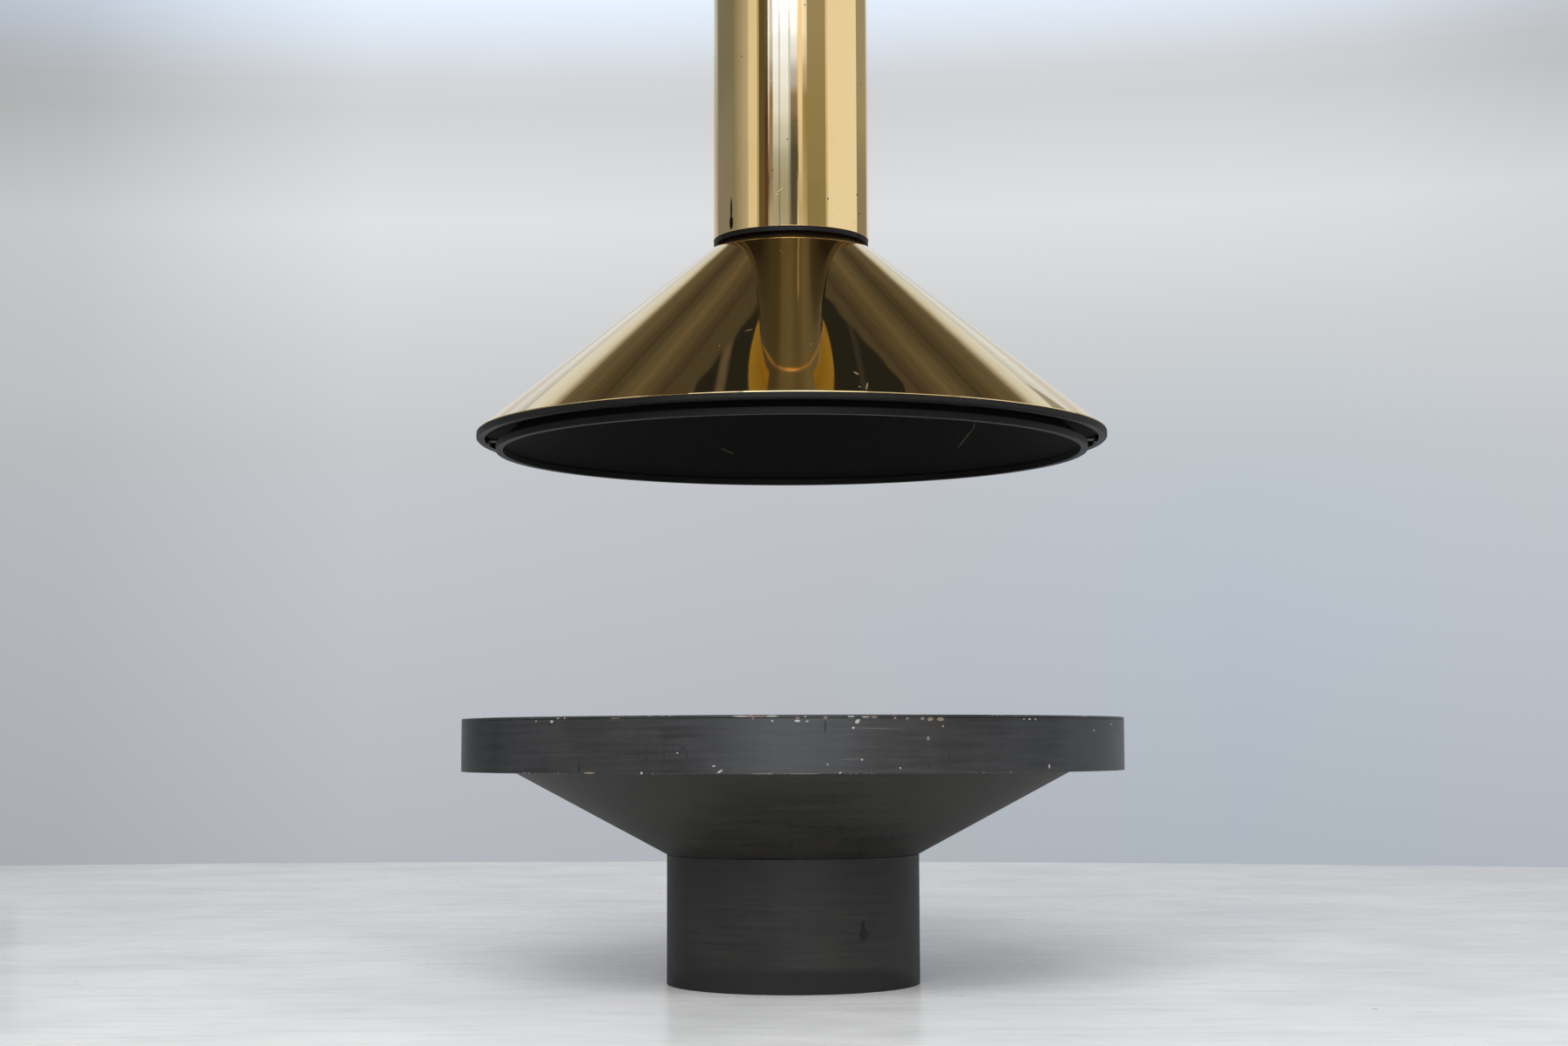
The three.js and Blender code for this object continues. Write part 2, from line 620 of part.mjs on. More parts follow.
function makeSleeve() {
  const lowerTop = sleeveBase + LOWER_SLEEVE_LENGTH;
  const lower = ring(sleeveInside, SLEEVE_RADIUS, sleeveBase, lowerTop, PIPE_FACETS);
  add("lower_sleeve", lower, polishedBrass);
  const upperInside = upperSleeveRadius - BRASS_SHEET;
  const upperTop = ceilingPlateBase - SLEEVE_TOP_GAP;
  const upper = ring(upperInside, upperSleeveRadius, lowerTop - SLEEVE_OVERLAP, upperTop, PIPE_FACETS);
  add("upper_sleeve", upper, polishedBrass);
}

// ---------------------------------------------------------------- ceiling fitting

function makeCeilingFitting() {
  const bore = FLUE_RADIUS + SEAT_GAP;
  const plate = ring(bore, CEILING_PLATE_RADIUS, ceilingPlateBase, CEILING_HEIGHT, PIPE_FACETS);
  const holes = boltHoles(
    LARGE_BOLT,
    CEILING_BOLT_CIRCLE,
    ceilingBoltAngles,
    ceilingPlateBase,
    4 * CEILING_PLATE_THICKNESS,
  );
  add("ceiling_plate", cut(plate, ...holes), blackPaintedSteel);
  addBolts(
    "ceiling_bolt",
    LARGE_BOLT,
    CEILING_PLATE_THICKNESS,
    CEILING_BOLT_CIRCLE,
    ceilingBoltAngles,
    ceilingPlateBase - SEAT_GAP,
    true,
  );

  // The rosette is a brass dish: a short neck round the sleeve, a domed face, and a rim at the ceiling
  const neck = upperSleeveRadius + 2 * SEAT_GAP + BRASS_SHEET;
  const base = CEILING_HEIGHT - ROSETTE_HEIGHT;
  const rimTop = CEILING_HEIGHT - SEAT_GAP;
  const rimBase = rimTop - ROSETTE_RIM_HEIGHT;
  const dome = (inset) =>
    new THREE.EllipseCurve(
      neck,
      rimBase,
      ROSETTE_RADIUS - neck - inset,
      rimBase - base - ROSETTE_NECK_HEIGHT - inset,
      -Math.PI / 2,
      0,
    )
      .getPoints(ROSETTE_STEPS)
      .map((p) => [p.x, p.y]);
  const inside = dome(BRASS_SHEET);
  const dish = turned(
    [
      [neck, base],
      ...dome(0),
      [ROSETTE_RADIUS, rimTop],
      [ROSETTE_RADIUS - BRASS_SHEET, rimTop],
      ...inside.reverse(),
      [neck - BRASS_SHEET, base + ROSETTE_NECK_HEIGHT + BRASS_SHEET],
      [neck - BRASS_SHEET, base],
    ],
    PIPE_FACETS,
  );
  const screwHeight = base + ROSETTE_NECK_HEIGHT / 2;
  const screwAngles = evenAngles(ROSETTE_SCREW_COUNT);
  const screwHoles = radialHoles(SMALL_SCREW.radius + HOLE_CLEARANCE, screwHeight, screwAngles, 2 * neck);
  add("ceiling_rosette", cut(dish, ...screwHoles), polishedBrass);
  addRadialScrews("rosette_screw", SMALL_SCREW, BRASS_SHEET + SEAT_GAP, neck, screwAngles, screwHeight);
}

// ---------------------------------------------------------------- damper

function makeDamper() {
  const damper = new THREE.Group();
  damper.position.z = damperAxis;
  fireplace.add(damper);

  const spindleReach = sleeveInside - SPINDLE_END_GAP;
  const screwPlaces = [-0.5, 0.5].map((side) => side * DAMPER_SCREW_SPACING);
  const plateNear = SPINDLE_RADIUS + SEAT_GAP;
  const screwHoles = screwPlaces.map((x) =>
    rod(SMALL_SCREW.radius + HOLE_CLEARANCE, 8 * SPINDLE_RADIUS).rotateX(Math.PI / 2).translate(x, 0, 0),
  );
  const spindle = rod(SPINDLE_RADIUS, 2 * spindleReach).rotateY(Math.PI / 2);
  add("damper_spindle", cut(spindle, ...screwHoles), bareSteel, damper);

  // The plate stands upright behind the spindle when the damper is open
  const hubRadius = SPINDLE_RADIUS + SEAT_GAP + LEVER_HUB_WALL;
  const plateRadius = collarRadius - COLLAR_WALL - DAMPER_MARGIN;
  const disc = rod(plateRadius, DAMPER_THICKNESS, PIPE_FACETS)
    .rotateX(Math.PI / 2)
    .translate(0, plateNear + DAMPER_THICKNESS / 2, 0);
  const notch = box(LEVER_WIDTH + 4 * SEAT_GAP, 8 * SPINDLE_RADIUS, 2 * hubRadius + 4 * SEAT_GAP);
  add("damper_plate", cut(disc, notch, ...screwHoles), stoveEnamel, damper);
  screwPlaces.forEach((x, i) => {
    const screw = bolt(SMALL_SCREW, DAMPER_THICKNESS + SPINDLE_RADIUS);
    const mesh = add(`damper_screw_${i + 1}`, screw.rotateX(-Math.PI / 2), bareSteel, damper);
    mesh.position.set(x, plateNear + DAMPER_THICKNESS + SEAT_GAP, 0);
  });

  // The lever's hub turns with the spindle, and its arm hangs down into the hood, within a hand's reach
  const lever = new THREE.Group();
  lever.rotation.x = radians(-LEVER_ANGLE);
  damper.add(lever);
  const hub = rod(hubRadius, LEVER_WIDTH).rotateY(Math.PI / 2);
  const arm = box(LEVER_WIDTH, LEVER_THICKNESS, LEVER_LENGTH).translate(0, 0, -LEVER_LENGTH / 2);
  const hubBore = rod(SPINDLE_RADIUS + SEAT_GAP, 2 * LEVER_WIDTH).rotateY(Math.PI / 2);
  add("damper_lever", cut(joined(hub, arm), hubBore), bareSteel, lever);
  const knob = new THREE.SphereGeometry(KNOB_RADIUS, 16, 10).rotateX(Math.PI / 2);
  knob.translate(0, 0, -LEVER_LENGTH);
  const socket = box(LEVER_WIDTH + 2 * SEAT_GAP, LEVER_THICKNESS + 2 * SEAT_GAP, 2 * KNOB_RADIUS);
  socket.translate(0, 0, KNOB_RADIUS - LEVER_LENGTH - SEAT_GAP);
  add("lever_knob", cut(knob, socket), bakelite, lever);

  // Flanged bushes in the collar carry the spindle
  const flangeFace = collarRadius + SEAT_GAP;
  const bore = SPINDLE_RADIUS + HOLE_CLEARANCE;
  const bush = turned(
    [
      [bore, collarRadius - COLLAR_WALL - BUSH_FLANGE],
      [bushRadius, collarRadius - COLLAR_WALL - BUSH_FLANGE],
      [bushRadius, flangeFace],
      [bushRadius + BUSH_FLANGE, flangeFace],
      [bushRadius + BUSH_FLANGE, flangeFace + BUSH_FLANGE],
      [bore, flangeFace + BUSH_FLANGE],
    ],
    SMALL_FACETS,
  );
  add("spindle_bush_right", bush.clone().rotateY(Math.PI / 2), bareSteel).position.z = damperAxis;
  add("spindle_bush_left", bush.clone().rotateY(-Math.PI / 2), bareSteel).position.z = damperAxis;
}

makePedestal();
makeBowl();
makeLining();
makeGrate();
makeAshPan();
makeHood();
makeNeck();
makeSleeve();
makeCeilingFitting();
makeDamper();

export default fireplace;
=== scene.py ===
# %% [markdown]
# # A hanging fireplace
#
# The object comes in two halves. A polished brass cone hangs from the ceiling on its flue and catches the
# smoke, and under it a fire bowl of black painted steel stands on a round pedestal. A CAD model already
# fixes where each piece is, how large it is and how it moves. This file makes what the eye sees: the fine
# surfaces and the finishes.

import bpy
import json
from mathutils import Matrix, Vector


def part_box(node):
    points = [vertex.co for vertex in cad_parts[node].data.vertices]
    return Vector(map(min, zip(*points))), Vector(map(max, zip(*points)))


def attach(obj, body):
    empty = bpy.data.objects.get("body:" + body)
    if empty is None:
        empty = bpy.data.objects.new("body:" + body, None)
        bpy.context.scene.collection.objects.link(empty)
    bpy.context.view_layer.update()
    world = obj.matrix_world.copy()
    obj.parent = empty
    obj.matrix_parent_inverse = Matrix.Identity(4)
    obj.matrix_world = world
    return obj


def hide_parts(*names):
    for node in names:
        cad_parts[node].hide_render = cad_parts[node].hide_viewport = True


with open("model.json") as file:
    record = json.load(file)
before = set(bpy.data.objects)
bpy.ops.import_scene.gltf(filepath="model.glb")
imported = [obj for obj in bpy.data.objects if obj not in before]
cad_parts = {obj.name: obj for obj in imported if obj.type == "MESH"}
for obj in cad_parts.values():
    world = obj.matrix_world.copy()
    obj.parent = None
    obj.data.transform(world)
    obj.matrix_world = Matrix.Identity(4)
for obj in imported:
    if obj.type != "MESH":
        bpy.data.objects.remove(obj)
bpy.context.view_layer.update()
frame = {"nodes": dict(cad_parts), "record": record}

# %% Imports and units
import json
import math

import bmesh
import bpy
import numpy as np
from mathutils import Vector

MM = 0.001  # Blender works in metres, and sizes here are easier to read in millimetres
TURN = 2 * math.pi

# %% [markdown]
# ## The camera
#
# The photograph was taken with the lens low, level with the hearth ring, from four metres in front of the
# axis and tilted up by five degrees, so it sees the ring from the side and looks far up under the hood.
# These values come from fitting circles of known proportion to the rims in the picture. The lens is given
# for a 36 mm sensor.

# %% Place the camera
CAMERA_PLACE = (0.0, -4.031, 0.393)
CAMERA_PITCH = math.radians(90 + 5.279)
CAMERA_ROLL = 0.0031
CAMERA_YAW = 0.0036

camera_data = bpy.data.cameras.new("photo camera")
camera_data.sensor_width = 36
camera_data.lens = 55.03
camera_data.clip_start = 0.05
camera = bpy.data.objects.new("photo camera", camera_data)
camera.location = CAMERA_PLACE
camera.rotation_euler = (CAMERA_PITCH, CAMERA_ROLL, CAMERA_YAW)
bpy.context.scene.collection.objects.link(camera)
bpy.context.scene.camera = camera
print("camera at", CAMERA_PLACE)

# %% [markdown]
# ## Colour and nodes
#
# A colour picked on a screen is stored with a curve on it, and shaders want light values without that
# curve, so one function takes the curve off. A second function adds a shader node, sets it up and links
# it in one line. It looks only at the sockets that are switched on, because a Mix node hides one set of
# sockets for each type.


# %% Colour and node helpers
def linear(hex_colour):
    """Light values of a screen colour: s / 12.92 if s is very small, else ((s + 0.055) / 1.055) ^ 2.4."""
    screen = np.array([int(hex_colour[i : i + 2], 16) for i in (1, 3, 5)]) / 255
    light = np.where(screen <= 0.04045, screen / 12.92, ((screen + 0.055) / 1.055) ** 2.4)
    return (*light, 1.0)


def output_of(source):
    """The first switched-on output of a node; a socket is handed back as it is."""
    return next(s for s in source.outputs if s.enabled) if isinstance(source, bpy.types.Node) else source


def add(tree, kind, inputs=(), **settings):
    """Adds a node: first its settings, then its inputs by socket name or number. A value may be a node
    or a socket."""
    made = tree.nodes.new("ShaderNode" + kind)
    for name, value in settings.items():
        setattr(made, name, value)
    live = [s for s in made.inputs if s.enabled]
    for key, value in dict(inputs).items():
        socket = live[key] if isinstance(key, int) else next(s for s in live if s.name == key)
        value = output_of(value)
        if isinstance(value, bpy.types.NodeSocket):
            tree.links.new(value, socket)
        else:
            socket.default_value = value
    return made


def span(low, high, to_low=0.0, to_high=1.0):
    """The values of a Map Range node that takes low..high to to_low..to_high."""
    return {"From Min": low, "From Max": high, "To Min": to_low, "To Max": to_high}


def new_material(name):
    """A material with its node tree, its main shader, and the object coordinates that its patterns are
    laid out in."""
    material = bpy.data.materials.new(name)
    material.use_nodes = True
    tree = material.node_tree
    return material, tree, tree.nodes["Principled BSDF"], add(tree, "TexCoord").outputs["Object"]


def finish_surface(tree, shader, colour, roughness, normal):
    """Links the three things that nearly every finish here varies."""
    tree.links.new(output_of(colour), shader.inputs["Base Color"])
    tree.links.new(output_of(roughness), shader.inputs["Roughness"])
    tree.links.new(output_of(normal), shader.inputs["Normal"])


# %% [markdown]
# ## Surfaces as grids of points
#
# Nearly every piece here is turned, rolled or cast round one axis. Such a shape is an outline of a few
# corners in radius and height that is carried round the axis, which numpy works out for all angles at
# once. The corners stay sharp in the outline and a Bevel modifier rounds them, because it also corrects
# the normals of the flat faces next to it, and a mirror finish shows every wrong normal.


# %% Grid to mesh
def skin(name, grid, ring=False):
    """Joins a grid of points (rows, columns, xyz) by quads. Columns close on themselves; rows close if
    ring, else get a flat cap at each end. A negative volume, the sum of tetrahedra to the origin, means
    inside out and is flipped."""
    rows, columns = grid.shape[:2]
    index = np.arange(rows * columns).reshape(rows, columns)
    here = index if ring else index[:-1]
    after = np.roll(index, -1, 0) if ring else index[1:]
    quads = np.stack([here, np.roll(here, -1, 1), np.roll(after, -1, 1), after], -1).reshape(-1, 4).tolist()
    caps = [] if ring else [index[0][::-1].tolist(), index[-1].tolist()]
    mesh = bpy.data.meshes.new(name)
    mesh.from_pydata(grid.reshape(-1, 3), [], quads + caps)
    work = bmesh.new()
    work.from_mesh(mesh)
    if work.calc_volume(signed=True) < 0:
        bmesh.ops.reverse_faces(work, faces=work.faces)
    work.to_mesh(mesh)
    work.free()
    mesh.shade_smooth()
    piece = bpy.data.objects.new(name, mesh)
    bpy.context.scene.collection.objects.link(piece)
    return piece


def circles(outline, steps):
    """One row of points (r cos a, r sin a, z) for each (r, z) of an outline. r may differ from angle to
    angle."""
    angle = np.linspace(0, TURN, steps, endpoint=False)
    rows = [np.broadcast_arrays(r * np.cos(angle), r * np.sin(angle), z) for r, z in outline]
    return np.stack(rows).transpose(0, 2, 1)


def turned(name, outline, steps=256):
    """A full turn: the point (r, z) of a closed outline goes to (r cos a, r sin a, z) for evenly spaced
    angles a."""
    angle = np.linspace(0, TURN, steps, endpoint=False)[:, None]
    r, z = np.array(outline).T
    grid = np.stack(np.broadcast_arrays(r * np.cos(angle), r * np.sin(angle), z), -1)
    return skin(name, grid, ring=True)


def placed(grid, origin, across, up):
    """Local points (x, y, z) go to origin + x * across + y * up + z * (across x up), for unit vectors."""
    across, up = np.array(across, float), np.array(up, float)
    return np.array(origin, float) + grid @ np.stack([across, up, np.cross(across, up)])


def round_edges(piece, radius, segments=3):
    """Rounds every edge that turns by more than 30 degrees, and keeps the flat faces beside it looking
    flat."""
    bevel = piece.modifiers.new("rounded edges", "BEVEL")
    bevel.width = radius
    bevel.segments = segments
    bevel.limit_method = "ANGLE"
    bevel.angle_limit = math.radians(30)
    bevel.harden_normals = True


SLOTS = {row["node"]: row["material_slot"] for row in frame["record"]["subparts"]}


def dress(piece, material, node, edge=0.0, segments=3, body="fireplace"):
    """Rounds a piece's edges, gives it its material unless it has one, puts it on the CAD body it rides
    on and hides the CAD node it stands for."""
    if edge:
        round_edges(piece, edge, segments)
    if not piece.data.materials:
        piece.data.materials.append(material)
    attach(piece, body)
    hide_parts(node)
    print(piece.name, len(piece.data.vertices), "points")


def radius_of(node):
    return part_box(node)[1].x


def levels_of(node):
    low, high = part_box(node)
    return low.z, high.z


def make_ring(name, node, inside, material, edge=0.8 * MM):
    """A ring of rectangular section in the place of a node."""
    outside = radius_of(node)
    low, high = levels_of(node)
    piece = turned(name, [(inside, low), (outside, low), (outside, high), (inside, high)])
    dress(piece, material, node, edge)


# %% [markdown]
# ## Marks at chosen places
#
# Wear isn't even. Noise makes a good general pattern of it, but a few marks stand out on the real piece,
# and those are placed one by one. A mark is an ellipse: a Mapping node moves its centre to the origin,
# turns it level and scales it to radius one, and the length of what comes out is below one inside. Noise
# shakes the coordinates first, so that no mark has a clean outline. The y of a mark follows from the round
# that it lies on.


# %% Marks
MARK_DEPTH = 150 * MM


def marks(tree, place, spots, radius, ragged=1.2 * MM, side=-1):
    """1 inside any spot and 0 outside it. A spot is x, z, half width, half height (mm) and tilt
    (degrees), and its centre lies at y = side * sqrt(radius^2 - x^2), so side is -1 on the camera's side
    and 1 away from it."""
    shake = add(tree, "TexNoise", {"Vector": place, "Scale": 1 / (3 * MM), "Detail": 2.0})
    centred = add(tree, "VectorMath", {0: shake.outputs["Color"], 1: (0.5, 0.5, 0.5)}, operation="SUBTRACT")
    moved = add(tree, "VectorMath", {0: centred, 1: (ragged, 0, ragged)}, operation="MULTIPLY")
    shaken = add(tree, "VectorMath", {0: place, 1: moved}, operation="ADD")
    nearest = None
    for x, z, half_width, half_height, tilt in spots:
        centre = (x * MM, side * math.sqrt(radius**2 - (x * MM) ** 2), z * MM)
        size = (half_width * MM, MARK_DEPTH, half_height * MM)
        turn = (0, math.radians(tilt), 0)
        ellipse = {"Vector": shaken, "Location": centre, "Rotation": turn, "Scale": size}
        local = add(tree, "Mapping", ellipse, vector_type="TEXTURE")
        away = add(tree, "VectorMath", {0: local}, operation="LENGTH").outputs["Value"]
        nearest = away if nearest is None else add(tree, "Math", {0: nearest, 1: away}, operation="MINIMUM")
    return add(tree, "MapRange", {"Value": nearest, **span(0.8, 1.1, 1, 0)})


def blend(tree, factor, below, above):
    """A colour mix; each colour is a hex value or a node."""
    colours = [linear(c) if isinstance(c, str) else c for c in (below, above)]
    return add(tree, "Mix", {"Factor": factor, "A": colours[0], "B": colours[1]}, data_type="RGBA")


# %% [markdown]
# ## Finish: polished brass
#
# The hood and the sleeve are brass sheet, rolled, spun and then buffed until they mirror the room. Metal
# takes its colour from its reflection, so the base colour is the tint that white light gets on one
# bounce. The mirror isn't perfect: the sheet waves a little over a hand's width, the rollers and the
# spinning tool leave level rings some centimetres apart, a cloth leaves hairlines, and a few pits and
# cloudy patches of tarnish have come with age. A Wave Texture of scale 1 turns by 20 radians for each
# metre, so a ring's scale is a full turn over 20 times its pitch.

# %% Polished brass
WAVE_RADIANS = 20
# pitch and depth of the rings, how far noise bends them, and the scale of that noise
TOOL_RINGS = [(48.3805 * MM, 0.022 * MM, 1.5, 0.2), (163.363 * MM, 0.03 * MM, 2.0, 0.3)]
SHEET_WAVE = 150 * MM
PIT_SPACING = 45 * MM


def make_polished_brass(name, radius, stains=(), scratches=()):
    """radius is that of the round on which the stains and scratches lie."""
    material, tree, shader, place = new_material(name)
    cloud = add(tree, "TexNoise", {"Vector": place, "Scale": 5.0, "Detail": 4.0})
    patch = add(tree, "MapRange", {"Value": cloud, **span(0.45, 0.75)}, interpolation_type="SMOOTHSTEP")
    colour = blend(tree, patch, "#f5d8a2", "#e9cb92")
    cells = add(tree, "TexVoronoi", {"Vector": place, "Scale": 1 / PIT_SPACING})
    pit = add(tree, "MapRange", {"Value": cells, **span(0.02, 0.035, 1, 0)})
    colour = blend(tree, pit, colour, "#4a3418")

    stretched = add(tree, "Mapping", {"Vector": place, "Scale": (900, 900, 12)})
    hair = add(tree, "TexNoise", {"Vector": stretched, "Scale": 1.0, "Detail": 2.0})
    haze = add(tree, "MapRange", {"Value": hair, **span(0.55, 0.8, 0, 0.04)})
    soft = add(tree, "MapRange", {"Value": cloud, **span(0.3, 0.8, 0.025, 0.06)})
    rough = add(tree, "Math", {0: haze, 1: soft}, operation="ADD")
    if stains:
        stain = marks(tree, place, stains, radius, ragged=0.5 * MM)
        colour = blend(tree, stain, colour, "#2b2415")
    if scratches:
        scratch = marks(tree, place, scratches, radius, ragged=0.5 * MM)
        rough = add(tree, "Mix", {"Factor": scratch, "A": rough, "B": 0.6}, data_type="FLOAT")

    wave = add(tree, "TexNoise", {"Vector": place, "Scale": 1 / SHEET_WAVE, "Detail": 1.0})
    relief = add(tree, "Bump", {"Height": wave, "Distance": 0.2 * MM, "Strength": 1.0})
    for pitch, depth, bend, bend_scale in TOOL_RINGS:
        scale = TURN / (WAVE_RADIANS * pitch)
        values = {"Vector": place, "Scale": scale, "Detail": 1.0}
        values.update({"Distortion": bend, "Detail Scale": bend_scale})
        rings = add(tree, "TexWave", values, bands_direction="Z")
        relief = add(tree, "Bump", {"Height": rings, "Distance": depth, "Strength": 1.0, "Normal": relief})
    shader.inputs["Metallic"].default_value = 1.0
    finish_surface(tree, shader, colour, rough, relief)
    return material


# x, z, half width, half height, tilt
SLEEVE_STAINS = [
    (-99.7, 1262, 3.2, 12, 0),
    (-99.6, 1284, 1.6, 22, 0),
    (61.8, 1295, 1.5, 1.5, 0),
    (110.8, 1312, 1.2, 1.2, 0),
    (115.2, 1281, 1.2, 1.2, 0),
    (10.1, 1424, 1.4, 0.8, 0),
]
SLEEVE_SCRATCHES = [
    (-17.7, 1307, 5.0, 0.4, -40),
    (-24.0, 1300, 1.5, 0.5, -40),
    (-33.1, 1493, 3.0, 0.4, 30),
]
brass_of_sleeve = make_polished_brass(
    "polished brass of the sleeve", radius_of("lower_sleeve"), SLEEVE_STAINS, SLEEVE_SCRATCHES
)
HOOD_SCRATCHES = [
    (-65.5, 1029, 7.5, 0.8, -14),
    (-110, 1001, 1.2, 1.2, 0),
    (97, 946, 5.0, 1.6, 35),
    (112, 922, 1.6, 8.0, 12),
    (101, 921, 2.4, 1.2, 0),
    (30, 1000, 0.8, 2.0, 20),
]
MIDDLE_OF_HOOD = 450 * MM
brass_of_hood = make_polished_brass("polished brass of the hood", MIDDLE_OF_HOOD, scratches=HOOD_SCRATCHES)
polished_brass = make_polished_brass("polished brass", MIDDLE_OF_HOOD)
print("brass finishes ready, rings every", [round(ring[0] / MM) for ring in TOOL_RINGS], "mm")

# %% [markdown]
# The inside of the brass cone was never polished. Its near-black colour is painted shade, which is why
# the gap between the two rims looks dark although bright brass is just behind it.


# %% Brass darkened as painted shade
def make_shade_dark_brass():
    material, tree, shader, place = new_material("brass darkened as painted shade")
    cloud = add(tree, "TexNoise", {"Vector": place, "Scale": 14.0, "Detail": 5.0})
    shade = add(tree, "MapRange", {"Value": cloud, **span(0.35, 0.7)})
    colour = blend(tree, shade, "#161310", "#2c251c")
    rough = add(tree, "MapRange", {"Value": cloud, **span(0, 1, 0.55, 0.75)})
    bump = add(tree, "Bump", {"Height": cloud, "Distance": 0.2 * MM, "Strength": 1.0})
    shader.inputs["Metallic"].default_value = 0.5
    finish_surface(tree, shader, colour, rough, bump)
    return material


shade_dark_brass = make_shade_dark_brass()

# %% [markdown]
# ## Finish: heatproof black paint
#
# The bowl, its pedestal and the rims are mild steel under a thin coat of satin heatproof paint. Such
# paint is a very dark grey with a fine grain. It takes most of its brightness from what it reflects, so
# it looks pale where it faces a window and nearly black beside it. It chips at the edges down to pale
# primer or brown steel.

# %% Heatproof black paint
PAINT_GRAIN = 1.4 * MM
CHIP_SIZE = 3.5 * MM
CHIP_REACH = 3.5 * MM
DUST_SIZE = 2.5 * MM
MARK_DULLNESS = 0.25


def make_black_paint(
    name, dark="#18181a", pale="#212122", edges=(), groups=(), radius=1.0, rough=0.4, gloss=0.5
):
    """edges are the round edges that chip, each a radius and a height. groups are pairs of a colour and
    a list of marks. gloss is how strongly it reflects; 0.5 is plain paint and less is sooted."""
    material, tree, shader, place = new_material(name)
    cloud = add(tree, "TexNoise", {"Vector": place, "Scale": 7.0, "Detail": 6.0, "Roughness": 0.65})
    rubbed = add(tree, "Mapping", {"Vector": place, "Scale": (9, 9, 160)})
    strokes = add(tree, "TexNoise", {"Vector": rubbed, "Scale": 1.0, "Detail": 4.0})
    both = add(tree, "Mix", {"Factor": 0.45, "A": cloud, "B": strokes}, data_type="FLOAT")
    shade = add(tree, "MapRange", {"Value": both, **span(0.4, 0.6)})
    colour = blend(tree, shade, dark, pale)
    fine = {"Vector": place, "Detail": 3.0, "Roughness": 0.7}
    speckle = add(tree, "TexNoise", {**fine, "Scale": 1 / DUST_SIZE})
    dust = add(tree, "MapRange", {"Value": speckle, **span(0.62, 0.78, 0, 0.4)})
    colour = blend(tree, dust, colour, "#5c5a56")
    grain = add(tree, "TexNoise", {"Vector": place, "Scale": 1 / PAINT_GRAIN, "Detail": 2.0})
    height = grain
    if edges:
        flat = add(tree, "VectorMath", {0: place, 1: (1, 1, 0)}, operation="MULTIPLY")
        outward = add(tree, "VectorMath", {0: flat}, operation="LENGTH").outputs["Value"]
        upright = add(tree, "SeparateXYZ", {"Vector": place}).outputs["Z"]
        section = add(tree, "CombineXYZ", {"X": outward, "Y": upright})
        flakes = add(tree, "TexNoise", {**fine, "Scale": 1 / CHIP_SIZE})
        sparse = add(tree, "TexNoise", {"Vector": place, "Scale": 11.0, "Detail": 2.0})
        near = None
        for edge_radius, level in edges:
            corner = (edge_radius, level, 0)
            away = add(tree, "VectorMath", {0: section, 1: corner}, operation="DISTANCE").outputs["Value"]
            close = add(tree, "MapRange", {"Value": away, **span(0, CHIP_REACH, 0.25, 0)})
            near = close if near is None else add(tree, "Math", {0: near, 1: close}, operation="MAXIMUM")
        luck = add(tree, "MapRange", {"Value": sparse, **span(0.4, 0.7, -0.14, 0.1)})
        total = add(tree, "Math", {0: flakes, 1: near}, operation="ADD")
        total = add(tree, "Math", {0: total, 1: luck}, operation="ADD")
        chip = add(tree, "MapRange", {"Value": total, **span(0.785, 0.82)})
        primer = blend(tree, flakes, "#53443b", "#97908a")
        colour = blend(tree, chip, colour, primer)
        height = add(tree, "Math", {0: grain, 1: chip}, operation="SUBTRACT")
    dull = None
    for tone, spots in groups:
        spot = marks(tree, place, spots, radius)
        colour = blend(tree, spot, colour, tone)
        dull = spot if dull is None else add(tree, "Math", {0: dull, 1: spot}, operation="MAXIMUM")
    roughness = add(tree, "MapRange", {"Value": both, **span(0.3, 0.7, rough - 0.06, rough + 0.08)})
    if dull is not None:
        matt = add(tree, "Math", {0: dull, 1: MARK_DULLNESS}, operation="MULTIPLY")
        roughness = add(tree, "Math", {0: roughness, 1: matt}, operation="ADD")
    shader.inputs["Specular IOR Level"].default_value = gloss
    bump = add(tree, "Bump", {"Height": height, "Distance": 0.04 * MM, "Strength": 1.0})
    finish_surface(tree, shader, colour, roughness, bump)
    return material


black_paint = make_black_paint("satin black paint")
# Near-black paint of the neck ring, the brackets and the rim's underside and inner edge: painted shade.
shade_black_paint = make_black_paint("near-black paint, painted shade", dark="#08080a", pale="#101012", rough=0.5, gloss=0.2)
rim_paint = make_black_paint(
    "sooted black paint of the hood's rims", dark="#0f0f0e", pale="#191917", rough=0.5, gloss=0.14
)
bowl_paint = make_black_paint(
    "dusty black paint of the bowl", dark="#191815", pale="#2b2924", rough=0.6, gloss=0.4
)

# %% [markdown]
# The hearth ring stands at knee height and is the piece that shoes, logs and pokers touch. Its marks are
# listed by colour: bare white primer, a pinkish undercoat, tan where the steel has rusted a little, dark
# drips of tar, and thin pale scratches.

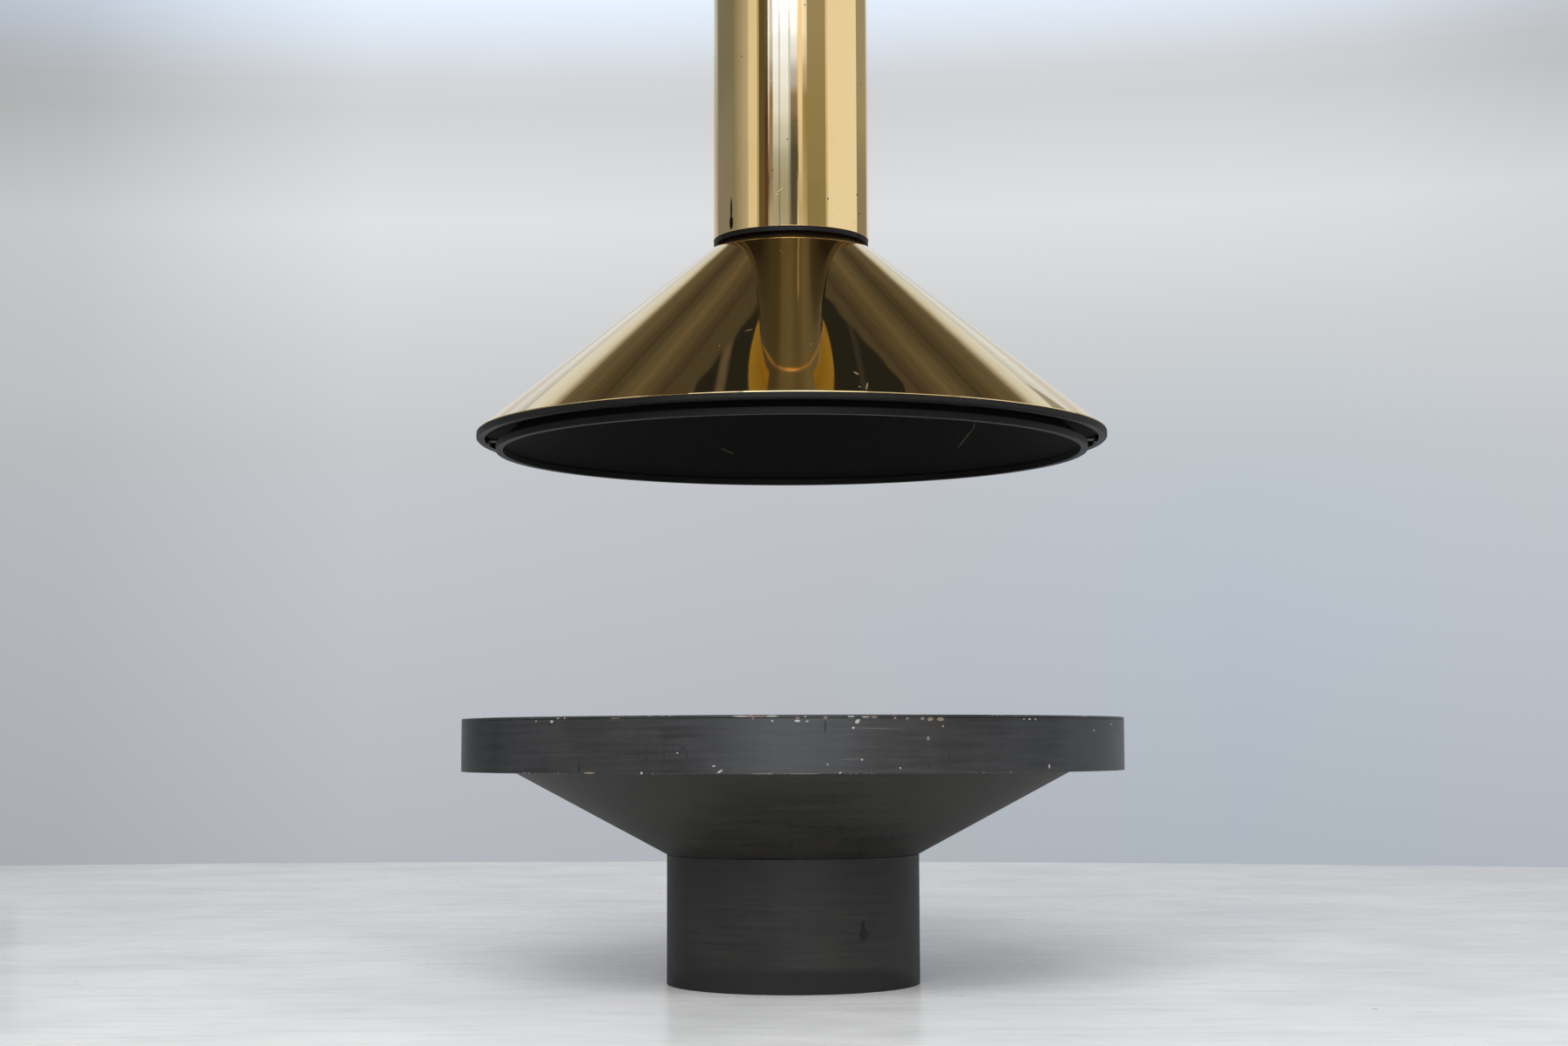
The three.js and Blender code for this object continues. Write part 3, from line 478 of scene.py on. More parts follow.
# %% Marks of the hearth ring
WHITE_CHIPS = [
    (-388.6, 429.1, 1.3, 1.2, 0), (-362.4, 428.2, 2.6, 2.2, 0), (-352.4, 433.3, 2.0, 1.0, 0),
    (-341.1, 433.1, 1.4, 1.0, 0), (-168.2, 381.0, 1.2, 1.2, 0), (-221.5, 351.8, 1.6, 2.4, 0),
    (-75.0, 433.9, 12.0, 0.7, 0), (-29.5, 433.8, 9.0, 0.9, 0), (-29.5, 427.1, 1.6, 1.4, 0),
    (7.1, 427.0, 4.2, 1.8, 0), (18.5, 433.2, 1.6, 1.3, 0), (21.0, 426.3, 2.4, 0.9, 0),
    (85.0, 433.1, 5.0, 1.2, 0), (94.0, 426.0, 4.0, 2.6, -35), (88.0, 416.7, 1.9, 1.7, 0),
    (106.0, 432.4, 6.0, 1.2, 0), (346.9, 429.7, 1.0, 1.2, 0), (356.0, 429.9, 2.0, 1.6, 0),
    (365.5, 429.8, 1.2, 1.6, 0), (505.0, 423.1, 1.8, 1.5, 0), (468.4, 413.2, 1.6, 1.5, 0),
    (387.7, 359.1, 1.6, 3.4, 0), (-114.5, 362.0, 3.0, 1.0, 0), (-105.5, 354.4, 4.6, 1.5, -28),
    (100.4, 370.8, 1.6, 1.4, 0), (50.4, 364.1, 1.3, 1.3, 0), (68.6, 352.0, 1.8, 1.2, -30),
    (156.5, 358.5, 1.4, 1.3, 0),
]
PINK_CHIPS = [
    (-57.3, 432.0, 1.6, 3.0, 0), (7.1, 431.4, 3.0, 1.6, 0), (149.3, 431.2, 2.0, 2.2, 0),
    (167.3, 430.5, 1.6, 1.8, 0), (-60.0, 433.6, 24.0, 0.9, 0), (190.0, 430.4, 3.0, 2.4, 0),
]
TAN_CHIPS = [
    (47.5, 431.9, 3.2, 2.2, 0), (118.6, 432.4, 5.0, 1.8, 0), (201.5, 429.3, 4.4, 2.8, -15),
    (216.7, 429.3, 5.4, 2.8, 0), (220.6, 419.1, 1.8, 1.8, 0), (198.2, 401.3, 2.2, 3.2, 0),
    (-301.8, 351.8, 9.0, 1.4, 0), (-262.0, 432.2, 8.0, 0.9, 0),
]
PALE_LINES = [
    (-48.0, 350.8, 12.0, 0.9, 0), (15.6, 350.7, 24.0, 0.9, 0), (125.0, 415.8, 40.0, 0.35, 1.5),
    (85.0, 371.4, 16.0, 0.35, -2.0),
]
TAR = [
    (-214.4, 376.0, 1.6, 21.0, 0), (-187.6, 374.0, 1.6, 19.0, 0), (-159.0, 388.0, 6.0, 2.2, 15),
    (-154.6, 378.0, 1.8, 11.0, 0), (-158.0, 362.0, 1.8, 10.0, 0), (47.4, 419.0, 1.5, 10.0, 0),
    (229.4, 378.4, 1.9, 6.5, 0), (199.1, 362.0, 1.8, 5.5, 0), (-318.0, 360.0, 2.0, 9.0, 0),
]
PEDESTAL_SMUDGES = [(110.6, 97.6, 4.0, 17.0, 0), (112.0, 92.0, 7.0, 10.0, 0)]
# The pedestal's paint is darker and duller along the foot of its front, up to about 4 cm above the floor.
PEDESTAL_FOOT = [(0, 2, 420, 38, 0)]
BAND_WALL = 5 * MM
band_low, band_high = levels_of("hearth_band")[0], levels_of("hearth_shelf")[1]
ring_radius = radius_of("hearth_band")
SHELF_WIDTH = 100 * MM
mouth_edge = ring_radius - SHELF_WIDTH
ring_paint = make_black_paint(
    "chipped black paint of the hearth ring",
    dark="#121214",
    pale="#262627",
    edges=((ring_radius, band_low), (ring_radius, band_high), (mouth_edge, band_high)),
    groups=[
        ("#171718", TAR), ("#565653", PALE_LINES), ("#6e604e", TAN_CHIPS), ("#735c55", PINK_CHIPS),
        ("#94918b", WHITE_CHIPS),
    ],
    radius=ring_radius,
)
pedestal_paint = make_black_paint(
    "black paint of the pedestal",
    dark="#161515",
    pale="#272624",
    edges=((radius_of("pedestal"), levels_of("pedestal")[0]),),
    groups=[("#1e1d1c", PEDESTAL_FOOT), ("#181717", PEDESTAL_SMUDGES)],
    radius=radius_of("pedestal"),
    rough=0.6,
    gloss=0.38,
)
print("marks on the hearth ring:", len(WHITE_CHIPS + PINK_CHIPS + TAN_CHIPS + PALE_LINES + TAR))

# %% [markdown]
# ## Finishes of the pieces that are seen less
#
# Each of these has a real texture that can be felt: the enamel of the smoke cone is sooted, cast iron
# keeps the print of the sand it was poured in, a firebrick is pressed from coarse grog, zinc plating
# grows in small dull and bright patches, and moulded phenolic resin is almost smooth with a faint mottle.


# %% Sooted enamel, cast iron, firebrick, zinc plate and phenolic
# x, z, half width, half height, tilt: pale scratches inside the cone, on the side away from the camera
MIDDLE_OF_CONE = 415 * MM
SOOT_SCRATCHES = [(328.5, 962, 0.9, 6, 17), (314, 944, 1.1, 19, 42), (-120, 940, 14, 0.7, 20)]


def make_stove_enamel():
    material, tree, shader, place = new_material("sooted stove enamel")
    cloud = add(tree, "TexNoise", {"Vector": place, "Scale": 6.0, "Detail": 7.0, "Roughness": 0.7})
    shade = add(tree, "MapRange", {"Value": cloud, **span(0.35, 0.7)})
    colour = blend(tree, shade, "#030303", "#0b0a09")
    speck = add(tree, "TexNoise", {"Vector": place, "Scale": 1 / (9 * MM), "Detail": 5.0, "Roughness": 0.8})
    ash = add(tree, "MapRange", {"Value": speck, **span(0.56, 0.72, 0, 0.6)})
    colour = blend(tree, ash, colour, "#1a1d20")
    scratch = marks(tree, place, SOOT_SCRATCHES, MIDDLE_OF_CONE, ragged=0.8 * MM, side=1)
    colour = blend(tree, scratch, colour, "#5e5345")
    rough = add(tree, "MapRange", {"Value": cloud, **span(0, 1, 0.7, 0.95)})
    shader.inputs["Specular IOR Level"].default_value = 0.25
    flakes = add(tree, "TexNoise", {"Vector": place, "Scale": 1 / (3 * MM), "Detail": 4.0})
    bump = add(tree, "Bump", {"Height": flakes, "Distance": 0.15 * MM, "Strength": 1.0})
    finish_surface(tree, shader, colour, rough, bump)
    return material


def make_cast_iron():
    material, tree, shader, place = new_material("sand-cast iron")
    cloud = add(tree, "TexNoise", {"Vector": place, "Scale": 16.0, "Detail": 5.0})
    rust = add(tree, "MapRange", {"Value": cloud, **span(0.55, 0.75, 0, 0.6)})
    colour = blend(tree, rust, "#201f1f", "#3d2c22")
    flecks = {"Vector": place, "Scale": 1 / (20 * MM), "Detail": 6.0, "Roughness": 0.7}
    ashes = add(tree, "TexNoise", flecks)
    grey = add(tree, "MapRange", {"Value": ashes, **span(0.52, 0.75, 0, 0.45)})
    colour = blend(tree, grey, colour, "#6a665f")
    sand = add(tree, "TexNoise", {"Vector": place, "Scale": 1 / (1.6 * MM), "Detail": 3.0})
    bump = add(tree, "Bump", {"Height": sand, "Distance": 0.3 * MM, "Strength": 1.0})
    rough = add(tree, "MapRange", {"Value": cloud, **span(0, 1, 0.6, 0.9)})
    shader.inputs["Metallic"].default_value = 0.3
    finish_surface(tree, shader, colour, rough, bump)
    return material


def make_fireclay():
    material, tree, shader, place = new_material("pressed fireclay")
    cloud = add(tree, "TexNoise", {"Vector": place, "Scale": 9.0, "Detail": 6.0})
    shade = add(tree, "MapRange", {"Value": cloud, **span(0.35, 0.65)})
    colour = blend(tree, shade, "#a08a6c", "#bba88a")
    grog = add(tree, "TexVoronoi", {"Vector": place, "Scale": 1 / (6 * MM)})
    grit = add(tree, "MapRange", {"Value": grog, **span(0.1, 0.25, 0.55, 0)})
    colour = blend(tree, grit, colour, "#6f5a45")
    low = add(tree, "SeparateXYZ", {"Vector": place}).outputs["Z"]
    depth = add(tree, "MapRange", {"Value": low, **span(0.25, 0.38, 0.85, 0.1)})
    patchy = add(tree, "MapRange", {"Value": cloud, **span(0.35, 0.6, 0.35, 1)})
    soot = add(tree, "Math", {0: depth, 1: patchy}, operation="MULTIPLY")
    colour = blend(tree, soot, colour, "#2a2724")
    fine = add(tree, "TexNoise", {"Vector": place, "Scale": 1 / (1.5 * MM), "Detail": 3.0})
    bump = add(tree, "Bump", {"Height": fine, "Distance": 0.35 * MM, "Strength": 1.0})
    rough = add(tree, "MapRange", {"Value": cloud, **span(0, 1, 0.88, 1)})
    finish_surface(tree, shader, colour, rough, bump)
    return material


def make_zinc_plate():
    material, tree, shader, place = new_material("zinc-plated steel")
    cells = add(tree, "TexVoronoi", {"Vector": place, "Scale": 1 / (4 * MM)})
    shade = add(tree, "MapRange", {"Value": cells.outputs["Distance"], **span(0, 0.8)})
    colour = blend(tree, shade, "#8b8b89", "#a9a9a6")
    scuff = add(tree, "TexNoise", {"Vector": place, "Scale": 60.0, "Detail": 4.0})
    rough = add(tree, "MapRange", {"Value": scuff, **span(0.3, 0.7, 0.28, 0.5)})
    bump = add(tree, "Bump", {"Height": scuff, "Distance": 0.05 * MM, "Strength": 1.0})
    shader.inputs["Metallic"].default_value = 1.0
    finish_surface(tree, shader, colour, rough, bump)
    return material


def make_phenolic():
    material, tree, shader, place = new_material("moulded phenolic resin")
    mottle = add(tree, "TexNoise", {"Vector": place, "Scale": 1 / (5 * MM), "Detail": 3.0})
    colour = blend(tree, mottle, "#14110f", "#221b16")
    rough = add(tree, "MapRange", {"Value": mottle, **span(0, 1, 0.25, 0.4)})
    bump = add(tree, "Bump", {"Height": mottle, "Distance": 0.05 * MM, "Strength": 1.0})
    finish_surface(tree, shader, colour, rough, bump)
    return material


stove_enamel = make_stove_enamel()
cast_iron = make_cast_iron()
fireclay = make_fireclay()
zinc_plate = make_zinc_plate()
phenolic = make_phenolic()
print("finishes:", len(bpy.data.materials))

# %% [markdown]
# ## The brass hood and its sleeve
#
# The hood is a cone of brass sheet with level edges, and the sleeve is a plain tube. Both could be a
# cylinder primitive with its top scaled in, but an outline with the sheet's thickness gives real edges
# that catch the light. 384 steps round keep the mirror free of flats. The inside of the cone is made
# near-black as painted shade, so the faces that come from the outline's inner edge get a second material.

# %% The brass hood
SHEET = 1.5 * MM
NECK_RADIUS = 124.5 * MM
LIP = 1.4 * MM  # the foot is turned down by this much, and its edge catches the light
HOOD_STEPS = 384
THIN_EDGE = 0.5 * MM


def level_width(sheet, run, rise):
    """The level width of a sloping sheet: its thickness times slope length over rise."""
    return sheet * math.hypot(run, rise) / rise


def make_hood():
    foot = radius_of("brass_hood")
    low, high = levels_of("brass_hood")
    wall = level_width(SHEET, foot - NECK_RADIUS, high - low)
    outline = [
        (foot, low),
        (foot, low + LIP),
        (NECK_RADIUS, high),
        (NECK_RADIUS - wall, high),
        (foot - wall, low),
    ]
    hood = turned("brass_cone", outline, HOOD_STEPS)
    hood.data.materials.append(brass_of_hood)
    # The inside faces get the near-black brass, whose colour is painted shade in the gap between the rims.
    hood.data.materials.append(shade_dark_brass)
    inner_edge = 3
    which = np.zeros((HOOD_STEPS, len(outline)), int)
    which[:, inner_edge] = 1
    hood.data.polygons.foreach_set("material_index", which.ravel())
    dress(hood, brass_of_hood, "brass_hood", 0.3 * MM)


make_hood()
for end in ("lower", "upper"):
    node = f"{end}_sleeve"
    bore = radius_of(node) - SHEET
    make_ring(f"brass_sleeve_{end}", node, bore, brass_of_sleeve, edge=THIN_EDGE)

# %% [markdown]
# ## The rims, the inner cone and the brackets
#
# A ring of rectangular section is a turned outline of four corners. The outer rim has two more, for the
# small step in its lower edge. The inner cone is the one that really catches the smoke; the brass is its
# cover.


# %% Rims and inner cone
RIM_STEPS = 256
OUTER_RIM_WIDTH = 14 * MM
OUTER_RIM_STEP = 2 * MM
OUTER_RIM_LIFT = 5 * MM
INNER_RIM_WIDTH = 12 * MM
INNER_HOOD_SHEET = 2.5 * MM


def make_outer_rim():
    outside = radius_of("outer_rim")
    low, high = levels_of("outer_rim")
    low += OUTER_RIM_LIFT
    inside, step = outside - OUTER_RIM_WIDTH, outside - OUTER_RIM_STEP
    outline = [
        (inside, low),
        (step, low),
        (step, low + OUTER_RIM_STEP),
        (outside, low + OUTER_RIM_STEP),
        (outside, high),
        (inside, high),
    ]
    rim = turned("hood_rim", outline, RIM_STEPS)
    rim.data.materials.append(rim_paint)
    # The underside and the inner edge, which faces the gap, get the near-black paint: painted shade.
    rim.data.materials.append(shade_black_paint)
    underside, inner_edge = 0, 5
    which = np.zeros((RIM_STEPS, len(outline)), int)
    which[:, [underside, inner_edge]] = 1
    rim.data.polygons.foreach_set("material_index", which.ravel())
    dress(rim, rim_paint, "outer_rim", 0.8 * MM)


cone_foot, cone_low, cone_high = radius_of("inner_hood"), *levels_of("inner_hood")
cone_wall = level_width(INNER_HOOD_SHEET, cone_foot - radius_of("hood_collar"), cone_high - cone_low)
cone_neck = radius_of("hood_collar") + 0.6 * MM + cone_wall


def make_inner_hood():
    outline = [
        (cone_foot, cone_low),
        (cone_neck, cone_high),
        (cone_neck - cone_wall, cone_high),
        (cone_foot - cone_wall, cone_low),
    ]
    piece = turned("smoke_cone", outline)
    dress(piece, stove_enamel, "inner_hood", 0.5 * MM)


make_outer_rim()
make_ring("hood_lip", "inner_rim", radius_of("inner_rim") - INNER_RIM_WIDTH, rim_paint)
make_inner_hood()

# %% [markdown]
# A bracket or a handle is flat bar bent over a former. Its centre line is a chain of straight runs, an
# arc takes the place of each corner, and the bar's section is carried along. Offsetting the line to both
# sides by half the thickness gives the two faces.


# %% Bent flat bar
def rounded_path(corners, radius, steps=6):
    """Each inner corner becomes an arc that touches both its sides: its ends lie radius / tan(half the
    angle) from the corner, and its centre radius / sin(half the angle) along the bisector."""
    corners = [np.array(c, float) for c in corners]
    path = [corners[0]]
    for before, corner, after in zip(corners, corners[1:], corners[2:]):
        back = (before - corner) / np.linalg.norm(before - corner)
        on = (after - corner) / np.linalg.norm(after - corner)
        half = math.acos(float(np.clip(back @ on, -1, 1))) / 2
        middle = corner + (back + on) / np.linalg.norm(back + on) * radius / math.sin(half)
        start = corner + back * radius / math.tan(half) - middle
        side = corner + on * radius / math.tan(half) - middle
        sweep = math.pi - 2 * half
        share = np.linspace(0, 1, steps + 1)[:, None]
        arc = start * np.sin((1 - share) * sweep) + side * np.sin(share * sweep)
        path.extend(middle + arc / math.sin(sweep))
    path.append(corners[-1])
    return np.array(path)


def bent_bar(name, path, thickness, width, origin, across, up):
    """A bar whose centre line is a flat path in the local x, y plane. Its faces are the path moved by
    half the thickness along its normals, and its sides are half the width before and behind the plane."""
    along = np.gradient(path, axis=0)
    along /= np.linalg.norm(along, axis=1)[:, None]
    normal = np.stack([-along[:, 1], along[:, 0]], -1) * thickness / 2
    near, far = path - normal, path + normal
    z = np.full((len(path), 1), width / 2)
    sides = [(near, -z), (far, -z), (far, z), (near, z)]
    grid = np.stack([np.hstack(pair) for pair in sides], 1)
    return skin(name, placed(grid, origin, across, up))


BRACKET_COUNT = 6
BRACKET_WIDTH = 30 * MM
BRACKET_THICKNESS = 3 * MM
BRACKET_FOOT = 7 * MM
SEAT_GAP = 0.3 * MM


def make_brackets():
    """Foot on the outer rim, level web, and a tail that lies up the inner cone."""
    low, high = levels_of("hood_bracket_1")
    low += OUTER_RIM_LIFT
    face = radius_of("outer_rim") - OUTER_RIM_WIDTH - 1.2 * MM
    run, rise = cone_foot - cone_neck, cone_high - cone_low
    half = BRACKET_THICKNESS / 2
    web = low + BRACKET_FOOT - half

    def lean(z):
        return cone_foot - run * (z - cone_low) / rise + 2 * SEAT_GAP + level_width(half, run, rise)

    corners = [(face - half, low), (face - half, web), (lean(web), web), (lean(high), high)]
    path = rounded_path(corners, 2.2 * MM, steps=4)
    for i in range(BRACKET_COUNT):
        angle = TURN * (i + 1) / BRACKET_COUNT
        outward = (math.cos(angle), math.sin(angle), 0)
        size = (BRACKET_THICKNESS, BRACKET_WIDTH)
        bar = bent_bar(f"bracket_{i + 1}", path, *size, (0, 0, 0), outward, (0, 0, 1))
        dress(bar, shade_black_paint, f"hood_bracket_{i + 1}", 0.4 * MM, segments=2)


make_brackets()

# %% [markdown]
# ## The neck
#
# A black ring in three segments carries the sleeve. Each segment is its outline in radius and height
# carried through part of a turn. Its ends are flat and parallel to the split, not radial, so at radius r
# the end lies at the angle whose sine is half the split over r.


# %% Neck ring, collar and flue
NECK_RING_COUNT = 3
NECK_RING_SPLIT = 4 * MM
NECK_RING_INSET = 1 * MM
NECK_CLEARANCE = 0.6 * MM
COLLAR_WALL = 3 * MM
FLUE_WALL = 2 * MM


def arc_block(name, outline, start, end, split, rows):
    """Carries an outline of (r, z) from one angle to another, with half a split left free at both ends."""
    r, z = np.array(outline).T
    free = np.arcsin(split / 2 / r)
    share = np.linspace(0, 1, rows)[:, None]
    angle = start + free + share * (end - start - 2 * free)
    grid = np.stack(np.broadcast_arrays(r * np.cos(angle), r * np.sin(angle), z), -1)
    return skin(name, grid)


def make_neck_ring():
    low, high = levels_of("neck_ring_1")
    outside = radius_of("lower_sleeve") - NECK_RING_INSET
    inside = radius_of("hood_collar") + NECK_CLEARANCE
    outline = [(inside, low), (outside, low), (outside, high), (inside, high)]
    arc = TURN / NECK_RING_COUNT
    for n in range(1, NECK_RING_COUNT + 1):
        start = (n - 1) * arc - TURN / 12
        block = arc_block(f"neck_segment_{n}", outline, start, start + arc, NECK_RING_SPLIT, 96)
        dress(block, shade_black_paint, f"neck_ring_{n}", 0.5 * MM)


make_neck_ring()
bore = radius_of("hood_collar") - COLLAR_WALL
make_ring("collar_tube", "hood_collar", bore, stove_enamel)
bore = radius_of("flue_pipe") - FLUE_WALL
make_ring("smoke_pipe", "flue_pipe", bore, stove_enamel, edge=THIN_EDGE)

# %% [markdown]
# ## The ceiling fitting
#
# A dished brass rosette hides the plate that is bolted to the ceiling. Its dome is a quarter of an
# ellipse, from the short neck that grips the sleeve to the rim that lies against the ceiling.

# %% Rosette and ceiling plate
ROSETTE_NECK_HEIGHT = 10 * MM
ROSETTE_RIM_HEIGHT = 6 * MM


def make_rosette(steps=16):
    """Dome: (neck + a sin t, rim - b cos t) for t from 0 to 90 degrees, with a across and b high."""
    outside = radius_of("ceiling_rosette")
    low, high = levels_of("ceiling_rosette")
    neck = radius_of("upper_sleeve") + NECK_CLEARANCE + SHEET
    rim = high - ROSETTE_RIM_HEIGHT
    t = np.linspace(0, TURN / 4, steps)[:, None]

    def dome(inset):
        a, b = outside - neck - inset, rim - low - ROSETTE_NECK_HEIGHT - inset
        return np.hstack([neck + a * np.sin(t), rim - b * np.cos(t)])

    outline = np.vstack(
        [
            [(neck, low)],
            dome(0),
            [(outside, high), (outside - SHEET, high)],
            dome(SHEET)[::-1],
            [(neck - SHEET, low + ROSETTE_NECK_HEIGHT + SHEET), (neck - SHEET, low)],
        ]
    )
    rosette = turned("rosette_dish", outline)
    dress(rosette, polished_brass, "ceiling_rosette", 0.4 * MM)


make_rosette()
make_ring("plate_on_ceiling", "ceiling_plate", radius_of("flue_pipe") + SEAT_GAP, black_paint)

# %% [markdown]
# ## The fire bowl, the hearth ring and the pedestal
#
# The bowl is a shallow cone with a flat floor and a hole for the ash pan. The hearth ring round its mouth
# is a hollow box: a channel, a band outside and a shelf on top. The pedestal is a drum with a flange
# turned inwards at its top. All of them are outlines of four to six corners, turned.

# %% Bowl, channel, band, shelf and pedestal
BOWL_WALL = 4 * MM
MOUTH_RADIUS = 466 * MM
SHELF_OVERHANG = 12 * MM
ASH_HOLE_RADIUS = 150 * MM
PEDESTAL_WALL = 4 * MM
PEDESTAL_FLANGE_WIDTH = 41 * MM
PEDESTAL_FLANGE = 6 * MM
BASE_FLANGE_WIDTH = 56 * MM

bowl_low, bowl_high = levels_of("fire_bowl")
bowl_run = radius_of("fire_bowl") - radius_of("pedestal")
bowl_rise = bowl_high - bowl_low
bowl_level_wall = level_width(BOWL_WALL, bowl_run, bowl_rise)


def make_bowl():
    foot, rim = radius_of("pedestal"), radius_of("fire_bowl")
    edge = foot - bowl_level_wall + BOWL_WALL * bowl_run / bowl_rise
    outline = [
        (ASH_HOLE_RADIUS, bowl_low),
        (foot, bowl_low),
        (rim, bowl_high),
        (rim - bowl_level_wall, bowl_high),
        (edge, bowl_low + BOWL_WALL),
        (ASH_HOLE_RADIUS, bowl_low + BOWL_WALL),
    ]
    bowl = turned("bowl_cone", outline)
    dress(bowl, bowl_paint, "fire_bowl", 0.6 * MM)


def make_channel():
    outside = radius_of("hearth_channel")
    low, high = levels_of("hearth_channel")
    inside = MOUTH_RADIUS - BOWL_WALL
    outline = [
        (inside, low),
        (outside, low),
        (outside, low + BOWL_WALL),
        (MOUTH_RADIUS, low + BOWL_WALL),
        (MOUTH_RADIUS, high),
        (inside, high),
    ]
    channel = turned("hearth_channel_rolled", outline)
    dress(channel, bowl_paint, "hearth_channel", 0.6 * MM)


def make_pedestal():
    outside = radius_of("pedestal")
    low, high = levels_of("pedestal")
    inside = outside - PEDESTAL_WALL
    flange = inside - PEDESTAL_FLANGE_WIDTH
    under = high - PEDESTAL_FLANGE
    outline = [
        (inside, low),
        (outside, low),
        (outside, high),
        (flange, high),
        (flange, under),
        (inside, under),
    ]
    drum = turned("pedestal_drum", outline)
    dress(drum, pedestal_paint, "pedestal", 0.8 * MM)


make_bowl()
make_channel()
make_ring("hearth_band_rolled", "hearth_band", ring_radius - BAND_WALL, ring_paint)
make_ring("hearth_shelf_plate", "hearth_shelf", MOUTH_RADIUS - BOWL_WALL - SHELF_OVERHANG, ring_paint)
make_pedestal()
make_ring("base_ring", "base_flange", radius_of("base_flange") - BASE_FLANGE_WIDTH, black_paint)

# %% [markdown]
# ## The firebricks
#
# Six pressed bricks line the bowl. A pressed brick has soft edges and a surface that is never quite flat.
# Its section is a rounded four-sided path, carried round the bowl. Towards each end the section shrinks
# along a quarter circle, which rounds the end edges too, and smooth random noise pushes the faces in by
# part of a millimetre, as real relief and not only as shading.

# %% Smooth random noise
RANDOM_SEED = 11


def lattice_noise(points, pitch, seed=RANDOM_SEED):
    """Value noise: random numbers on a lattice with this pitch, joined between its eight nearest nodes
    by the weights 3t^2 - 2t^3. Gives one number between 0 and 1 for each point."""
    size = 32
    values = np.random.default_rng(seed).random((size, size, size))
    scaled = points / pitch + 1000.0
    cell = np.floor(scaled).astype(int)
    t = scaled - cell
    t = t * t * (3 - 2 * t)
    total = np.zeros(points.shape[:-1])
    for corner in np.ndindex(2, 2, 2):
        node = (cell + corner) % size
        weight = np.prod(np.where(corner, t, 1 - t), axis=-1)
        total += weight * values[node[..., 0], node[..., 1], node[..., 2]]
    return total


# %% Firebricks
BRICK_COUNT = 6
BRICK_JOINT = 3 * MM
BRICK_EDGE = 4 * MM
BRICK_DENTS = 1.1 * MM
DENT_SPACING = 28 * MM
BRICK_GRIT = 0.5 * MM
GRIT_SPACING = 8 * MM
BRICK_UPSTAND = 33 * MM
BRICK_THICKNESS = 30 * MM
BRICK_BEDDING = 1.2 * MM


def closed_rounded(corners, radius, steps, spacing):
    """A closed path with rounded corners, with points added on its straight runs no further apart than
    spacing."""
    path = rounded_path([*corners, corners[0], corners[1]], radius, steps)[1:-1]
    fine = []
    for here, after in zip(path, np.roll(path, -1, 0)):
        count = max(1, math.ceil(np.linalg.norm(after - here) / spacing))
        fine += [here + (after - here) * i / count for i in range(count)]
    return np.array(fine)


def make_bricks():
    slope = math.hypot(bowl_run, bowl_rise) / bowl_run
    inner = radius_of("pedestal") + 2 * BRICK_BEDDING
    outer = MOUTH_RADIUS - BOWL_WALL - BRICK_BEDDING

    def bed(r):
        along_slope = r + bowl_level_wall - radius_of("pedestal")
        return bowl_low + along_slope * bowl_rise / bowl_run + BRICK_BEDDING * slope

    def face(r):
        return bed(r) + (BRICK_THICKNESS - BRICK_BEDDING) * slope

    top = bed(outer) + BRICK_UPSTAND
    corners = [(inner, bed(inner)), (outer, bed(outer)), (outer, top), (inner, face(inner))]
    section = closed_rounded(corners, BRICK_EDGE, 5, 5 * MM)
    along = np.roll(section, -1, 0) - np.roll(section, 1, 0)
    inward = np.stack([-along[:, 1], along[:, 0]], -1) / np.linalg.norm(along, axis=1)[:, None]
    turn = np.linspace(0, TURN / 4, 6)
    near = BRICK_EDGE * (1 - np.cos(turn))
    shrink = BRICK_EDGE * (1 - np.sin(turn))
    half = math.pi / BRICK_COUNT
    length = 2 * half * inner
    middle = np.linspace(near[-1], length - near[-1], 44)[1:-1]
    reach = np.concatenate([near, middle, length - near[::-1]])[:, None]
    inset = np.concatenate([shrink, np.zeros_like(middle), shrink[::-1]])[:, None]
    shape = section[None] + inset[..., None] * inward[None]
    r, z = shape[..., 0], shape[..., 1]
    free = np.arcsin(BRICK_JOINT / 2 / r)
    # Near an end the distance to it is a length, and in between it is a share of the arc
    from_start = np.minimum(reach, BRICK_EDGE) / r
    from_end = np.minimum(length - reach, BRICK_EDGE) / r
    span_angle = 2 * half - 2 * free
    share = (reach - BRICK_EDGE) / (length - 2 * BRICK_EDGE)
    ends = 2 * BRICK_EDGE / r
    between = free + ends / 2 + share * (span_angle - ends)
    late = np.where(length - reach <= BRICK_EDGE, free + span_angle - from_end, between)
    angle = np.where(reach <= BRICK_EDGE, free + from_start, late)
    for i in range(BRICK_COUNT):
        turned_angle = angle + 2 * half * i
        grid = np.stack([r * np.cos(turned_angle), r * np.sin(turned_angle), z], -1)
        dent = BRICK_DENTS * lattice_noise(grid, DENT_SPACING)
        dent = dent + BRICK_GRIT * lattice_noise(grid, GRIT_SPACING, RANDOM_SEED + 1)
        r_dented = r + inward[None, :, 0] * dent
        z_dented = z + inward[None, :, 1] * dent
        grid = np.stack([r_dented * np.cos(turned_angle), r_dented * np.sin(turned_angle), z_dented], -1)
        brick = skin(f"brick_{i + 1}", grid)
        dress(brick, fireclay, f"firebrick_{i + 1}")


make_bricks()

# %% [markdown]
# ## The grate and its stand
#
# The grate is poured in an open sand mould as one disc with slots, and the slots widen downwards a little
# so that it leaves the mould. The simplest way to slots that follow the round rim is the way a pattern
# maker thinks: start from a disc and take the slots out with a Boolean modifier. All cutters share one
# mesh.

# %% The grate
GRATE_RIM_WIDTH = 17 * MM
GRATE_BAR = 12 * MM
GRATE_SLOT = 18 * MM
GRATE_TIE_SPACING = 150 * MM
SLOT_CORNER = 5 * MM
SLOT_DRAFT = 1.03
GRATE_CORNER = 1.2 * MM
CUTTER_REACH = 5 * MM
STAND_WIDTH = 11 * MM


